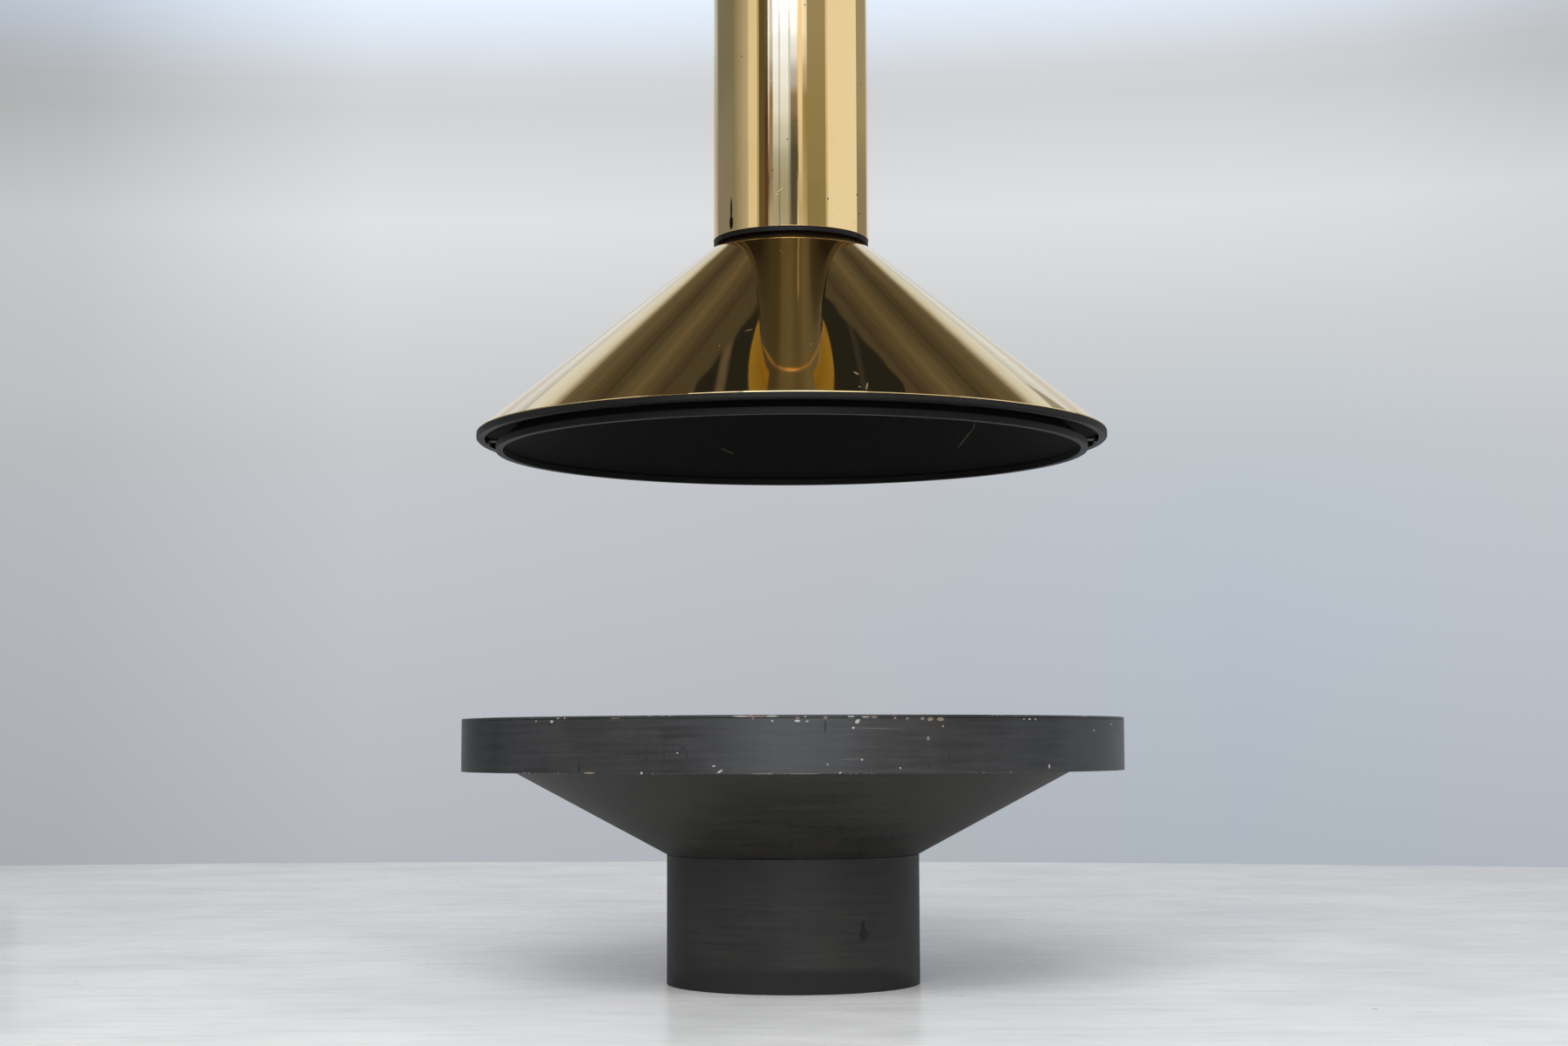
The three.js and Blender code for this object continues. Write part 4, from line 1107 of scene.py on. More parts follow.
def slot_outlines(radius):
    """Slots between the bars, cut in three by two ties. Each is (middle x, middle y, half x, half y)."""
    open_radius = radius - GRATE_RIM_WIDTH
    pitch = GRATE_BAR + GRATE_SLOT
    count = int((open_radius - GRATE_SLOT / 2 - GRATE_BAR) / pitch)
    tie_low = GRATE_TIE_SPACING / 2 - GRATE_BAR / 2
    tie_high = tie_low + GRATE_BAR
    slots = []
    for n in range(-count, count + 1):
        x = n * pitch
        end = math.sqrt(open_radius**2 - (abs(x) + GRATE_SLOT / 2) ** 2)
        slots.append((x, 0, GRATE_SLOT / 2, min(tie_low, end)))
        if end > tie_high + 2 * SLOT_CORNER:
            middle, half = (tie_high + end) / 2, (end - tie_high) / 2
            slots += [(x, side * middle, GRATE_SLOT / 2, half) for side in (-1, 1)]
    return slots


def make_grate():
    low, high = levels_of("grate")
    radius = radius_of("grate")
    disc = skin("grate_casting", circles([(radius, low), (radius, high)], 192))
    corner = np.linspace(0, TURN / 4, 5)
    quarter = np.stack([np.cos(corner), np.sin(corner)], -1) * SLOT_CORNER
    work = bmesh.new()
    for x, y, half_x, half_y in slot_outlines(radius):
        inset = np.array([half_x, half_y]) - SLOT_CORNER
        points = []
        for k, (sx, sy) in enumerate([(1, 1), (-1, 1), (-1, -1), (1, -1)]):
            c, s = math.cos(k * TURN / 4), math.sin(k * TURN / 4)
            spun = quarter @ np.array([[c, s], [-s, c]])
            points.append(spun + inset * (sx, sy))
        flat = np.vstack(points)
        rings = []
        for z, scale in ((high + CUTTER_REACH, 1.0), (low - CUTTER_REACH, SLOT_DRAFT)):
            rings.append([work.verts.new((x + px * scale, y + py * scale, z)) for px, py in flat])
        top, bottom = rings
        work.faces.new(top)
        work.faces.new(bottom[::-1])
        for i in range(len(flat)):
            j = (i + 1) % len(flat)
            work.faces.new((top[j], top[i], bottom[i], bottom[j]))
    bmesh.ops.recalc_face_normals(work, faces=work.faces)
    mesh = bpy.data.meshes.new("slot cutters")
    work.to_mesh(mesh)
    work.free()
    cutter = bpy.data.objects.new("slot cutters", mesh)
    bpy.context.scene.collection.objects.link(cutter)
    cut = disc.modifiers.new("slots", "BOOLEAN")
    cut.operation = "DIFFERENCE"
    cut.solver = "EXACT"
    cut.object = cutter
    bpy.context.view_layer.update()
    evaluated = disc.evaluated_get(bpy.context.evaluated_depsgraph_get())
    finished = bpy.data.meshes.new_from_object(evaluated)
    disc.modifiers.clear()
    disc.data = finished
    bpy.data.objects.remove(cutter)
    finished.shade_smooth()
    round_edges(disc, GRATE_CORNER)
    print("slots in the grate:", len(slot_outlines(radius)))
    dress(disc, cast_iron, "grate", body="grate")


make_grate()
bore = radius_of("grate_stand") - STAND_WIDTH
make_ring("stand_ring", "grate_stand", bore, cast_iron, edge=GRATE_CORNER)

# %% [markdown]
# ## The ash pan
#
# The pan is pressed from thin sheet, so it has soft corners and a flat lip that hangs on the bowl's
# floor. Its handle is a strap across the top, within reach once the grate is out.

# %% Ash pan and handle
PAN_WALL = 1.5 * MM
PAN_LIP = 12 * MM
PAN_CORNER = 8 * MM
PAN_MIDDLE = 1 * MM
PAN_CLEARANCE = 10 * MM
HANDLE_WIDTH = 22 * MM
HANDLE_THICKNESS = 3 * MM


def make_ash_pan():
    lip = radius_of("ash_pan")
    low, high = levels_of("ash_pan")
    wall = lip - PAN_LIP - PAN_CLEARANCE
    t = np.linspace(0, TURN / 4, 8)[:, None]

    def bend(radius):
        middle = np.array([wall - PAN_CORNER, low + PAN_CORNER])
        return middle + radius * np.hstack([np.sin(t), -np.cos(t)])

    under = high - PAN_WALL
    outline = np.vstack(
        [
            [(PAN_MIDDLE, low)],
            bend(PAN_CORNER),
            [(wall, under), (lip, under), (lip, high), (wall - PAN_WALL, high)],
            bend(PAN_CORNER - PAN_WALL)[::-1],
            [(PAN_MIDDLE, low + PAN_WALL)],
        ]
    )
    pan = skin("ash_pan_pressed", circles(outline, 192))
    dress(pan, black_paint, "ash_pan", 0.6 * MM, body="ash_pan")


def make_pan_handle():
    low, high = levels_of("ash_pan_handle")
    half = radius_of("ash_pan_handle") - HANDLE_THICKNESS / 2
    top = high - HANDLE_THICKNESS / 2
    path = rounded_path([(-half, low), (-half, top), (half, top), (half, low)], 6 * MM)
    bar = bent_bar("pan_handle", path, HANDLE_THICKNESS, HANDLE_WIDTH, (0, 0, 0), (1, 0, 0), (0, 0, 1))
    dress(bar, zinc_plate, "ash_pan_handle", 0.6 * MM, body="ash_pan")


make_ash_pan()
make_pan_handle()

# %% [markdown]
# ## Bolts and screws
#
# A hexagon head is a six-sided prism whose top corners are turned off in a lathe. On a grid of angles its
# side lies half the flats over the cosine of the angle to the nearest flat, and the chamfer drops by the
# tangent of 30 degrees for each millimetre that the corner sticks out past the flats. A shank goes down
# from the head's seat.

# %% Hexagon bolts
LARGE_BOLT = {"radius": 5 * MM, "flats": 16 * MM, "head": 6.4 * MM}
SCREW = {"radius": 3 * MM, "flats": 9 * MM, "head": 3.5 * MM}
SMALL_SCREW = {"radius": 2.5 * MM, "flats": 7 * MM, "head": 2.5 * MM}
SHANK_CHAMFER = 0.6 * MM
CROWN_SHARE = 0.94  # the flat crown of a head, as a share of its width over the flats


def make_bolt(name, node, size, up, body="fireplace", source=None, turn=0.0):
    """A bolt in a node's place, with its head on the side that up points to. source is a bolt that lies
    along a main axis, whose place is turned about the object's axis by this angle."""
    low, high = (np.array(v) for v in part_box(source or node))
    up = np.array(up, float)
    middle = (low + high) / 2
    length = abs((high - low) @ up)
    seat = middle + up * (length / 2 - size["head"])
    across = np.array([up[1], up[2], up[0]])
    angle = np.linspace(0, TURN, 48, endpoint=False)
    flat = size["flats"] / 2
    side = flat / np.cos((angle + TURN / 12) % (TURN / 6) - TURN / 12)
    crown = CROWN_SHARE * flat
    chamfer = size["head"] - (side - crown) * math.tan(math.radians(30))
    rings = [
        (size["radius"] - SHANK_CHAMFER, size["head"] - length),
        (size["radius"], size["head"] - length + SHANK_CHAMFER),
        (size["radius"], 0.0),
        (side, 0.0),
        (side, chamfer),
        (crown, size["head"]),
    ]
    grid = placed(circles(rings, len(angle)), seat, across, np.cross(up, across))
    c, s = math.cos(turn), math.sin(turn)
    grid = grid @ np.array([[c, s, 0], [-s, c, 0], [0, 0, 1]])
    bolt = skin(name, grid)
    dress(bolt, zinc_plate, node, 0.25 * MM, segments=2, body=body)


for n in range(1, 5):
    make_bolt(f"anchor_{n}", f"anchor_bolt_{n}", LARGE_BOLT, (0, 0, 1))
    make_bolt(f"bowl_fixing_{n}", f"bowl_bolt_{n}", LARGE_BOLT, (0, 0, 1))
    make_bolt(f"ceiling_fixing_{n}", f"ceiling_bolt_{n}", LARGE_BOLT, (0, 0, -1))
for n in range(1, 4):
    turn = (n - 1) * TURN / 3
    make_bolt(f"flue_fixing_{n}", f"flue_screw_{n}", SCREW, (0, 1, 0), source="flue_screw_1", turn=turn)
make_bolt("rosette_fixing_1", "rosette_screw_1", SMALL_SCREW, (1, 0, 0))
make_bolt("rosette_fixing_2", "rosette_screw_2", SMALL_SCREW, (-1, 0, 0))
for n in (1, 2):
    make_bolt(f"plate_screw_{n}", f"damper_screw_{n}", SMALL_SCREW, (0, 1, 0), body="damper")

# %% [markdown]
# ## The damper
#
# A round plate on a spindle opens and shuts the flue. Its spindle turns in two flanged bushes, and a
# lever with a resin ball hangs from its middle, within reach under the hood. The plate is pierced for the
# lever's hub. It is a grid between two outlines with the same number of points: the circle outside and
# the rectangle inside, which lies at the smaller of half width over |cos a| and half height over |sin a|.

# %% Damper plate, spindle, bushes, lever and knob
HUB_RADIUS = 9.8 * MM
LEVER_WIDTH = 16 * MM
LEVER_THICKNESS = 5 * MM
LEVER_LENGTH = 190 * MM
LEVER_ANGLE = math.radians(45)
HUB_ROOM = 0.6 * MM
TINY = 1e-9  # keeps a division from dividing by zero

spindle_low, spindle_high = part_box("damper_spindle")
damper_axis = (spindle_low.z + spindle_high.z) / 2


def make_damper_plate():
    low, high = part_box("damper_plate")
    radius = high.x
    angle = np.linspace(0, TURN, 256, endpoint=False)
    half_x, half_z = LEVER_WIDTH / 2 + HUB_ROOM, HUB_RADIUS + HUB_ROOM
    c, s = (np.maximum(abs(wave(angle)), TINY) for wave in (np.cos, np.sin))
    window = np.minimum(half_x / c, half_z / s)
    loops = [(radius, low.y), (radius, high.y), (window, high.y), (window, low.y)]
    x, z, y = np.moveaxis(circles(loops, len(angle)), -1, 0)
    plate = skin("throttle_plate", np.stack([x, y, damper_axis + z], -1), ring=True)
    dress(plate, stove_enamel, "damper_plate", 0.5 * MM, body="damper")


def turned_along(name, outline, origin, across, up, steps=64):
    """An open outline of (radius, distance) turned about the line through origin along across x up, with
    caps."""
    return skin(name, placed(circles(outline, steps), origin, across, up))


def make_spindle():
    reach, radius, chamfer = spindle_high.x, (spindle_high.z - spindle_low.z) / 2, 0.8 * MM
    outline = [
        (radius - chamfer, -reach),
        (radius, chamfer - reach),
        (radius, reach - chamfer),
        (radius - chamfer, reach),
    ]
    rod = turned_along("damper_rod", outline, (0, 0, damper_axis), (0, 1, 0), (0, 0, 1))
    dress(rod, zinc_plate, "damper_spindle", 0.2 * MM, body="damper")


def make_bush(side, node):
    low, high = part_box(node)
    near, far = sorted((abs(low.x), abs(high.x)))
    flange_radius = (high.z - low.z) / 2
    flange, bore = 3 * MM, 5.4 * MM
    body_radius = flange_radius - flange
    outline = [
        (bore, near),
        (body_radius, near),
        (body_radius, far - flange),
        (flange_radius, far - flange),
        (flange_radius, far),
        (bore, far),
    ]
    y, z, x = np.moveaxis(circles(outline, 64), -1, 0)
    grid = np.stack([side * x, y, damper_axis + z], -1)
    bush = skin(f"bush_{'right' if side > 0 else 'left'}", grid, ring=True)
    dress(bush, zinc_plate, node, 0.3 * MM)


def make_lever():
    """The side view is a keyhole: a hub's circle that opens into a straight arm, whose end is hidden in
    the knob."""
    half = LEVER_THICKNESS / 2
    start = math.asin(half / HUB_RADIUS)
    turn = np.linspace(start, TURN - start, 40)
    hub = np.stack([HUB_RADIUS * np.sin(turn), -HUB_RADIUS * np.cos(turn)], -1)
    arm = np.array([(-half, -LEVER_LENGTH), (half, -LEVER_LENGTH)])
    outline = np.vstack([hub, arm])
    faces = (-LEVER_WIDTH / 2, LEVER_WIDTH / 2)
    rows = [np.column_stack([outline, np.full(len(outline), z)]) for z in faces]
    back = (0, math.cos(LEVER_ANGLE), -math.sin(LEVER_ANGLE))
    up = (0, math.sin(LEVER_ANGLE), math.cos(LEVER_ANGLE))
    lever = skin("throttle_lever", placed(np.array(rows), (0, 0, damper_axis), back, up))
    dress(lever, zinc_plate, "damper_lever", 0.5 * MM, body="damper")


def make_knob():
    """A ball with a short flat neck where the lever goes in."""
    low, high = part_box("lever_knob")
    radius = (high.x - low.x) / 2
    polar = np.linspace(math.radians(2), math.radians(165), 40)
    outline = np.stack([radius * np.sin(polar), radius * np.cos(polar)], -1)
    down = np.array([0, -math.sin(LEVER_ANGLE), -math.cos(LEVER_ANGLE)])
    centre = np.array([0, 0, damper_axis]) + down * LEVER_LENGTH
    side = np.cross((1, 0, 0), down)
    knob = turned_along("lever_ball", outline, centre, side, np.cross(down, side))
    dress(knob, phenolic, "lever_knob", 0.6 * MM, body="damper")


make_damper_plate()
make_spindle()
make_bush(1, "spindle_bush_right")
make_bush(-1, "spindle_bush_left")
make_lever()
make_knob()

# %% [markdown]
# Every CAD node now has a finer piece in its place, so no node shows. They get the finish of their slot
# in the record all the same, so that none is bare where a tool shows the CAD model.

# %% Finishes for the nodes themselves
SLOT_MATERIALS = {
    "polished_brass": polished_brass,
    "black_paint": black_paint,
    "stove_enamel": stove_enamel,
    "bare_steel": zinc_plate,
    "cast_iron": cast_iron,
    "firebrick": fireclay,
    "bakelite": phenolic,
}
for name, slot in SLOTS.items():
    node = frame["nodes"][name]
    node.data.materials.clear()
    node.data.materials.append(SLOT_MATERIALS[slot])
print("nodes given a finish:", len(SLOTS))

# %% [markdown]
# ## The studio
#
# A mirror is only as good as what it has to show, so the brass needs a room: tall windows in front, dark
# and pale flats between and beside them, and a dim ceiling. Each is a sheet that gives off a colour of
# its own and that only reflections can see, so it shapes the mirror images and the sheen of the paint
# without lighting the object. All sheets share one material, which reads its colour from an attribute,
# and each sheet works that attribute out from a few stops. A sheet shows on its front only, so it never
# hides the object from a camera behind it.

# %% Studio sheets
BACKDROP_RADIUS = 10.0
WALL_BEHIND = 3.9
WALL_SLANT, SLANT_START = 0.09, 2.4
CEILING = 3.55
CARD_RADIUS = 3.0


def make_glow():
    """Gives off the attribute "tone" on the front and lets everything through from behind."""
    material = bpy.data.materials.new("studio sheet")
    material.use_nodes = True
    tree = material.node_tree
    tree.nodes.clear()
    tone = add(tree, "Attribute", attribute_name="tone").outputs["Color"]
    light = add(tree, "Emission", {"Color": tone, "Strength": 1.0})
    clear = add(tree, "BsdfTransparent")
    behind = add(tree, "NewGeometry").outputs["Backfacing"]
    add(tree, "OutputMaterial", {"Surface": add(tree, "MixShader", {0: behind, 1: light, 2: clear})})
    return material


sheet_glow = make_glow()


def tones(stops, at):
    """Light values at each point of an array, joined in straight lines between stops. A stop is a place,
    a colour and, where it isn't 1, a strength."""
    places, colours, strengths = zip(*[(*stop, 1.0)[:3] for stop in stops])
    light = np.array([linear(c)[:3] for c in colours]) * np.array(strengths)[:, None]
    return np.stack([np.interp(at, places, light[:, k]) for k in range(3)], -1)


def stage_sheet(name, grid, tone=None, material=None, camera_sees=False, lights=False):
    """An open sheet over a grid of points, with one tone for each point."""
    rows, columns = grid.shape[:2]
    index = np.arange(rows * columns).reshape(rows, columns)
    quads = np.stack([index[:-1, :-1], index[:-1, 1:], index[1:, 1:], index[1:, :-1]], -1).reshape(-1, 4)
    mesh = bpy.data.meshes.new(name)
    mesh.from_pydata(grid.reshape(-1, 3), [], quads.tolist())
    mesh.materials.append(material or sheet_glow)
    if tone is not None:
        values = np.ones((rows * columns, 4), np.float32)
        values[:, :3] = np.broadcast_to(tone, grid.shape).reshape(-1, 3)
        mesh.attributes.new("tone", "FLOAT_COLOR", "POINT").data.foreach_set("color", values.ravel())
    sheet = bpy.data.objects.new(name, mesh)
    bpy.context.scene.collection.objects.link(sheet)
    sheet.visible_camera = camera_sees
    sheet.visible_diffuse = sheet.visible_shadow = sheet.visible_volume_scatter = lights
    return sheet


# %% [markdown]
# The wall behind the object is a wide drum, so it has no corners. It stands a little askew, further off
# at the left, as the slope of its foot in the photograph shows. It is what the camera sees, and it pales
# from the floor upwards.

# %% The wall
WALL_STOPS = [
    (0.0, "#b5b8be"), (0.8, "#bfc2c9"), (1.4, "#c6c8cc"), (1.75, "#d0d2d4"),
    (2.2, "#e2e3e5"), (2.65, "#d2d3d4"), (3.0, "#d9e4f2", 1.2), (3.6, "#c4ced8", 1.1),
    (6.0, "#b9c2cc"),
]
bearing, z = np.meshgrid(np.linspace(-math.pi, math.pi, 129), np.linspace(0, 6.0, 61))
wall_x = BACKDROP_RADIUS * np.sin(bearing)
wall_y = WALL_BEHIND - BACKDROP_RADIUS - BACKDROP_RADIUS * np.cos(bearing)
wall_y = wall_y + WALL_SLANT * (SLANT_START - wall_x)
wall_tone = tones(WALL_STOPS, z)
across = np.interp(wall_x, [-2.6, -1.5, 0.0, 1.5, 2.6], [0.84, 1.0, 0.96, 0.98, 1.0])
corner = 0.3 * np.clip(abs(wall_x) / 2.6, 0, 1) ** 4 * np.interp(z, [1.6, 2.8], [0, 1])
side_fade = (across * (1 - corner))[..., None]
cool = np.interp(wall_x, [0.0, 1.6, 2.6], [0, 1, 0.3]) * np.interp(z, [1.2, 2.0], [1, 0])
side_fade = side_fade * (1 + cool[..., None] * np.array([-0.07, 0.0, 0.03]))
wall_grid = np.stack([wall_x, wall_y, z], -1)
stage_sheet("wall", wall_grid[:, ::-1], (wall_tone * side_fade)[:, ::-1], camera_sees=True)

# %% [markdown]
# The polished cone leans back, so most of what it mirrors is the ceiling behind the object. Its boards
# run from side to side: each gives a streak that widens down the slope of the cone. The ceiling in front
# shows too, by way of the sleeve: those rays bounce twice, and the brass tints them twice. A dark panel
# hangs behind the flue, with two battens on it, and a warm disc marks where the brass rosette lights the
# ceiling round it.

# %% The ceiling
BOARDS = [
    (0.8, "#4d483c"), (0.95, "#453f35"), (1.2, "#645c4a"), (1.45, "#585244"),
    (1.65, "#433e33"), (1.9, "#575040"), (2.2, "#625b4a"), (2.55, "#67614f"),
    (2.75, "#a9a89e"), (3.0, "#d2d9da"), (3.5, "#dee6ee"),
]
FRONT_BOARDS = [
    (-1.4, "#272625"), (-0.9, "#464744"), (-0.62, "#474946"), (-0.42, "#5f625e"),
    (-0.04, "#656863"), (0.25, "#585a57"), (0.45, "#5d605c"), (0.62, "#6a6c66"),
    (0.84, "#5f6262"), (0.95, "#444544"), (1.4, "#272625"),
]
CEILING_SIDE = 6.0
CEILING_BACK = 4.2
GRAIN_DEPTH = 0.064
GRAIN_WAVES = [(0.41, 1.0), (0.17, 0.0), (0.083, 2.0)]  # pitch in metres, and phase
BOARDS_END = 2.6
GAP_PLACE, GAP_HALF_WIDTH, GAP_END, GAP_LIGHT = 0.375, 0.02, -0.93, 0.34
side_x = np.linspace(1.5, CEILING_SIDE, 10)
columns = np.concatenate([-side_x[::-1], np.linspace(-1.45, 1.45, 97), side_x])
ceiling_x, ceiling_y = np.meshgrid(columns, np.linspace(-CEILING_SIDE, CEILING_BACK, 511))
grain = sum(np.sin(TURN * ceiling_y / pitch + phase) for pitch, phase in GRAIN_WAVES)
behind = (1 + GRAIN_DEPTH * grain * (ceiling_y < BOARDS_END))[..., None] * tones(BOARDS, abs(ceiling_y))
in_front = tones(FRONT_BOARDS, ceiling_x)
bright_gap = (abs(ceiling_x - GAP_PLACE) < GAP_HALF_WIDTH) & (ceiling_y < GAP_END)
in_front[bright_gap] = GAP_LIGHT
turnover = np.interp(ceiling_y, [-2.0, -1.4, 0.4, 0.5], [0, 1, 1, 0])[..., None]
ceiling_tone = behind + (in_front - behind) * turnover
ceiling_grid = np.stack([ceiling_x, ceiling_y, np.full_like(ceiling_x, CEILING)], -1)
stage_sheet("ceiling", ceiling_grid[::-1], ceiling_tone[::-1])

BATTENS = [
    (-0.60, "#252623"), (-0.57, "#5e574c"), (-0.53, "#5e574c"), (-0.50, "#252724"),
    (0.53, "#252624"), (0.55, "#363532"), (0.57, "#363532"), (0.60, "#252624"),
]
PANEL_START, PANEL_LENGTH, PANEL_FLARE = 0.45, 0.35, 0.07
UNDER_CEILING = 0.01
panel_x, along = np.meshgrid(np.linspace(-0.75, 0.88, 164), np.linspace(1, 0, 9))
panel_y = PANEL_START + (PANEL_LENGTH + PANEL_FLARE * panel_x) * along
panel_grid = np.stack([panel_x, panel_y, np.full_like(panel_x, CEILING - UNDER_CEILING)], -1)
stage_sheet("dark_panel", panel_grid, tones(BATTENS, panel_x))

GLOW = [(0.0, "#726d57"), (0.4, "#747059"), (0.5, "#8c8149"), (0.62, "#958b4c"), (0.69, "#cccb90")]
bearing, distance = np.meshgrid(np.radians(np.linspace(-125, 125, 126)), np.linspace(0.14, 0.79, 27))
glow_x, glow_y = distance * np.sin(bearing), -distance * np.cos(bearing)
glow_grid = np.stack([glow_x, glow_y, np.full_like(glow_x, CEILING - 2 * UNDER_CEILING)], -1)
stage_sheet("rosette_glow", glow_grid[:, ::-1], tones(GLOW, abs(glow_x))[:, ::-1])

# %% [markdown]
# The cards stand in a circle round the object. A bearing is in degrees from the camera's side, positive
# to the right. Each card lists its stops by height. Below 1.7 m they are what the black paint shines
# with; above, they are what the sleeve and the cone mirror. A card may fade from one side to the other.


# %% The cards
TOP = 3.5
CARD_COLUMNS, CARD_ROWS = 13, 71
SKY_LOW = "#eef2f8"


def card(name, start, end, stops, sides=(1.0, 1.0), low=0.0, high=TOP):
    """A card from one bearing to another. sides are its strengths at both, and low and high its lowest
    and highest level."""
    across = np.radians(np.linspace(start, end, CARD_COLUMNS))
    bearing, z = np.meshgrid(across, np.linspace(low, high, CARD_ROWS))
    fade = np.linspace(*sides, CARD_COLUMNS)[None, :, None]
    grid = np.stack([CARD_RADIUS * np.sin(bearing), -CARD_RADIUS * np.cos(bearing), z], -1)
    return stage_sheet(name, grid[:, ::-1], (tones(stops, z) * fade)[:, ::-1])


def glass(low):
    """Stops of a tall window: the paint's sheen at the bottom, dim panes in the middle and bright sky
    above."""
    return [
        (1.6, SKY_LOW, low),
        (1.85, "#dfe6ee", 0.6),
        (2.04, "#aab3bc"),
        (2.23, "#cadcff", 1.45),
        (2.45, "#b1c7ff", 2.44),
        (2.65, "#d0dcff", 4.5),
    ]


# name, from and to in degrees, stops by height, and what differs from card's defaults
CARDS = [
    ("low_left_flat", -138, -100, [(0, "#6c7074")], {"low": 0.05, "high": 0.7}),
    ("far_left_flat", -136, -92, [(0.7, "#8d9196"), (2.04, "#86898e"), (2.45, "#7c8182")], {"low": 0.7}),
    ("grey_flat", -92, -64, [(0.7, "#bfbfba")], {"low": 0.7, "sides": (0.45, 1.0)}),
    ("cream_flat", -64, -49.5, [(0, "#e3e2d7")], {}),
    ("cream_edge", -49.5, -46.5, [(0, "#b3af95")], {}),
    ("brown_flat", -46.5, -37.5, [(1.6, "#6c5f4b"), (2.0, "#655d45"), (2.3, "#5c5642")], {}),
    ("red_flat", -37.5, -32.8, [(0, "#6a5a48"), (2.0, "#5e4438"), (2.2, "#4c3a30"), (2.45, "#66635a")], {}),
    (
        "narrow_pane", -32.8, -30.5,
        [(1.6, SKY_LOW, 1.2), (2.0, "#5d503f"), (2.23, "#d4cbca"), (2.45, "#c5d8ff", 1.9)], {},
    ),
    (
        "wide_post", -30.5, -25.5,
        [(1.6, SKY_LOW, 1.2), (2.0, "#958b86"), (2.25, "#8b867c"), (2.45, "#c7d6ff", 1.25)], {},
    ),
    ("window_left", -25.5, -17, glass(1.6), {}),
    ("window_post", -17, -15, glass(1.6), {"sides": (0.6, 0.6)}),
    ("window_middle", -15, -3, glass(3.2), {}),
    ("window_dim", -3, 0, glass(4.2), {"sides": (0.65, 0.65)}),
    (
        "curtain", 0, 9.5,
        [
            (1.6, SKY_LOW, 3.4), (1.85, "#555550"), (2.1, "#555550"),
            (2.25, "#8e867e"), (2.45, "#bdd0ff", 2.3), (2.62, "#d8e2ff", 4.5),
        ], {},
    ),
    (
        "curtain_edge", 9.5, 11,
        [
            (1.6, SKY_LOW, 3.0), (2.05, "#555550"), (2.25, "#c8c2b4"),
            (2.45, "#d6e3ff", 1.3), (2.62, "#e6eaf4", 2.5),
        ], {},
    ),
    (
        "white_post", 11, 17,
        [(1.6, SKY_LOW, 2.2), (1.9, "#c4c2b8"), (2.2, "#ede8d8"), (2.6, "#ece6d8", 1.25)], {},
    ),
    (
        "window_right", 17, 24,
        [
            (1.6, SKY_LOW, 1.8), (1.9, "#bdb59e"), (2.1, "#a69b7c"),
            (2.25, "#9d9470"), (2.45, "#e6eeff", 1.2),
        ],
        {"sides": (1.15, 0.85)},
    ),
    (
        "olive_flat", 24, 52,
        [(0, "#eae8dc", 1.1), (1.6, "#cfcab4"), (1.9, "#8f8a70"), (2.23, "#959076"), (2.45, "#9c9786")], {},
    ),
    ("olive_edge", 52, 55.5, [(1.6, "#bcbaad"), (2.45, "#e1dfda")], {}),
    ("bright_flat", 55.5, 113, [(0.7, "#e9f0fa"), (2.0, "#f0f1ef")], {"low": 0.7}),
    (
        "far_right_flat", 113, 150,
        [(2.04, "#8e8b81"), (2.23, "#a09d8a"), (2.45, "#9e9b93")], {"low": 1.2, "high": 2.75},
    ),
]
for name, start, end, stops, special in CARDS:
    card(name, start, end, stops, **special)
print("cards round the object:", len(CARDS))

# %% [markdown]
# On both sides of the flue the cone mirrors a narrow golden flank: brass that is lit by brass. A small
# ring round the flue, above the view and open in front, stands for it. Only reflections see it.

# %% The golden ring
RING_BORE, RING_RIM, RING_HEIGHT = 0.1335, 0.188, 2.1
RING_OPENING = 56
around = np.radians(np.linspace(RING_OPENING, 360 - RING_OPENING, 125))
bearing, distance = np.meshgrid(around, np.linspace(RING_BORE, RING_RIM, 4))
height = np.full_like(bearing, RING_HEIGHT)
ring_grid = np.stack([distance * np.sin(bearing), -distance * np.cos(bearing), height], -1)
stage_sheet("golden_ring", ring_grid, tones([(RING_BORE, "#7d6526"), (RING_RIM, "#8f7632")], distance))

# %% [markdown]
# The floor is pale polished concrete with a dull shine. Trowel marks cloud it, a few scuffs and specks
# lie on it, and it keeps the object's shadow and a faint image of the pedestal.


# %% The floor
FLOOR_REACH = 30.0


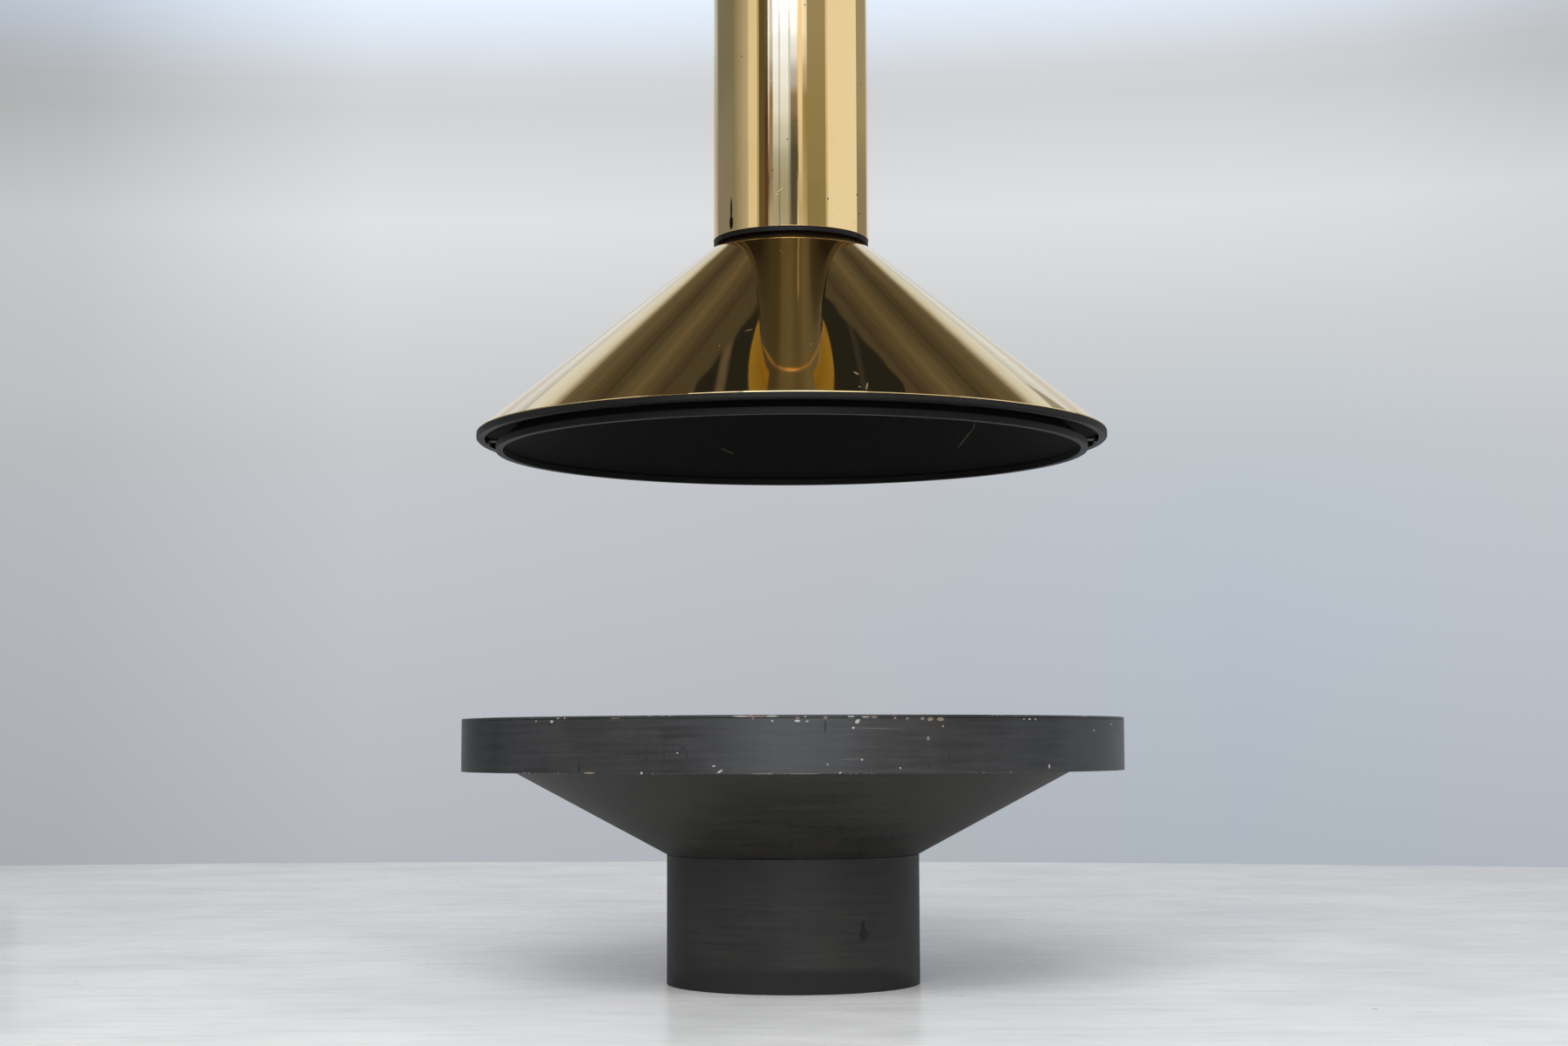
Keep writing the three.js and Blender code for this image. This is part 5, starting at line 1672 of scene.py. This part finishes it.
def make_floor():
    material, tree, shader, place = new_material("pale polished concrete")
    patches = add(tree, "TexNoise", {"Vector": place, "Scale": 2.2, "Detail": 5.0, "Roughness": 0.6})
    shade = add(tree, "MapRange", {"Value": patches, **span(0.3, 0.7)})
    colour = blend(tree, shade, "#dddddd", "#ebebea")
    long_marks = add(tree, "Mapping", {"Vector": place, "Scale": (4, 26, 1), "Rotation": (0, 0, 0.2)})
    scuff = add(tree, "TexNoise", {"Vector": long_marks, "Scale": 1.0, "Detail": 5.0, "Roughness": 0.6})
    dull = add(tree, "MapRange", {"Value": scuff, **span(0.5, 0.72, 0, 0.45)})
    colour = blend(tree, dull, colour, "#c4c3c0")
    grit = add(tree, "TexVoronoi", {"Vector": place, "Scale": 5.0})
    speck = add(tree, "MapRange", {"Value": grit, **span(0.015, 0.03, 0.7, 0)})
    colour = blend(tree, speck, colour, "#7b7873")
    tree.links.new(output_of(colour), shader.inputs["Base Color"])
    rough = add(tree, "MapRange", {"Value": patches, **span(0.3, 0.7, 0.2, 0.32)})
    tree.links.new(rough.outputs[0], shader.inputs["Roughness"])
    shader.inputs["Specular IOR Level"].default_value = 0.03
    output = next(n for n in tree.nodes if n.type == "OUTPUT_MATERIAL")
    clear = add(tree, "BsdfTransparent")
    behind = add(tree, "NewGeometry").outputs["Backfacing"]
    mixed = add(tree, "MixShader", {0: behind, 1: shader, 2: clear})
    tree.links.new(mixed.outputs[0], output.inputs["Surface"])
    x, y = np.meshgrid(*[np.linspace(-FLOOR_REACH, FLOOR_REACH, 3)] * 2)
    grid = np.stack([x, y, np.zeros_like(x)], -1)
    stage_sheet("floor", grid, material=material, camera_sees=True, lights=True)


make_floor()

# %% [markdown]
# ## The light
#
# The air of the room is the main light: a world colour a little below white, which comes from all sides
# and leaves only a soft shadow. One large soft lamp high up in front gives the shapes a light side and
# throws the shadow back, and a weaker one behind keeps the floor there from going dull.

# %% World and lamp
AMBIENT = 0.42


def make_world():
    world = bpy.data.worlds.new("studio air")
    world.use_nodes = True
    tree = world.node_tree
    tree.nodes.clear()
    ambient = add(tree, "Background", {"Color": linear("#f2f5fa"), "Strength": AMBIENT})
    seen = add(tree, "Background", {"Color": linear("#cdcfd2"), "Strength": 1.0})
    path = add(tree, "LightPath").outputs
    direct = add(tree, "Math", {0: path["Is Camera Ray"], 1: path["Is Glossy Ray"]}, operation="MAXIMUM")
    add(tree, "OutputWorld", {"Surface": add(tree, "MixShader", {0: direct, 1: ambient, 2: seen})})
    bpy.context.scene.world = world


def make_lamp(name, place, aim, width, height, watts):
    light = bpy.data.lights.new(name, "AREA")
    light.shape = "RECTANGLE"
    light.size, light.size_y, light.energy = width, height, watts
    holder = bpy.data.objects.new(name, light)
    holder.location = place
    holder.rotation_euler = (Vector(aim) - Vector(place)).to_track_quat("-Z", "Y").to_euler()
    holder.visible_glossy = False
    holder.visible_camera = False
    bpy.context.scene.collection.objects.link(holder)


make_world()
make_lamp("front light", (-0.5, -6.0, 4.5), (0, 0, 0.2), 5.0, 4.0, 580)
make_lamp("back light", (0, 4.2, 3.2), (0, 2.0, 0), 5.0, 1.5, 45)
added = [o for o in bpy.data.objects if o.type == "MESH" and o.name not in frame["nodes"]]
print("meshes beside the CAD nodes:", len(added))

# %% Finish
bpy.context.scene.view_settings.view_transform = "Standard"
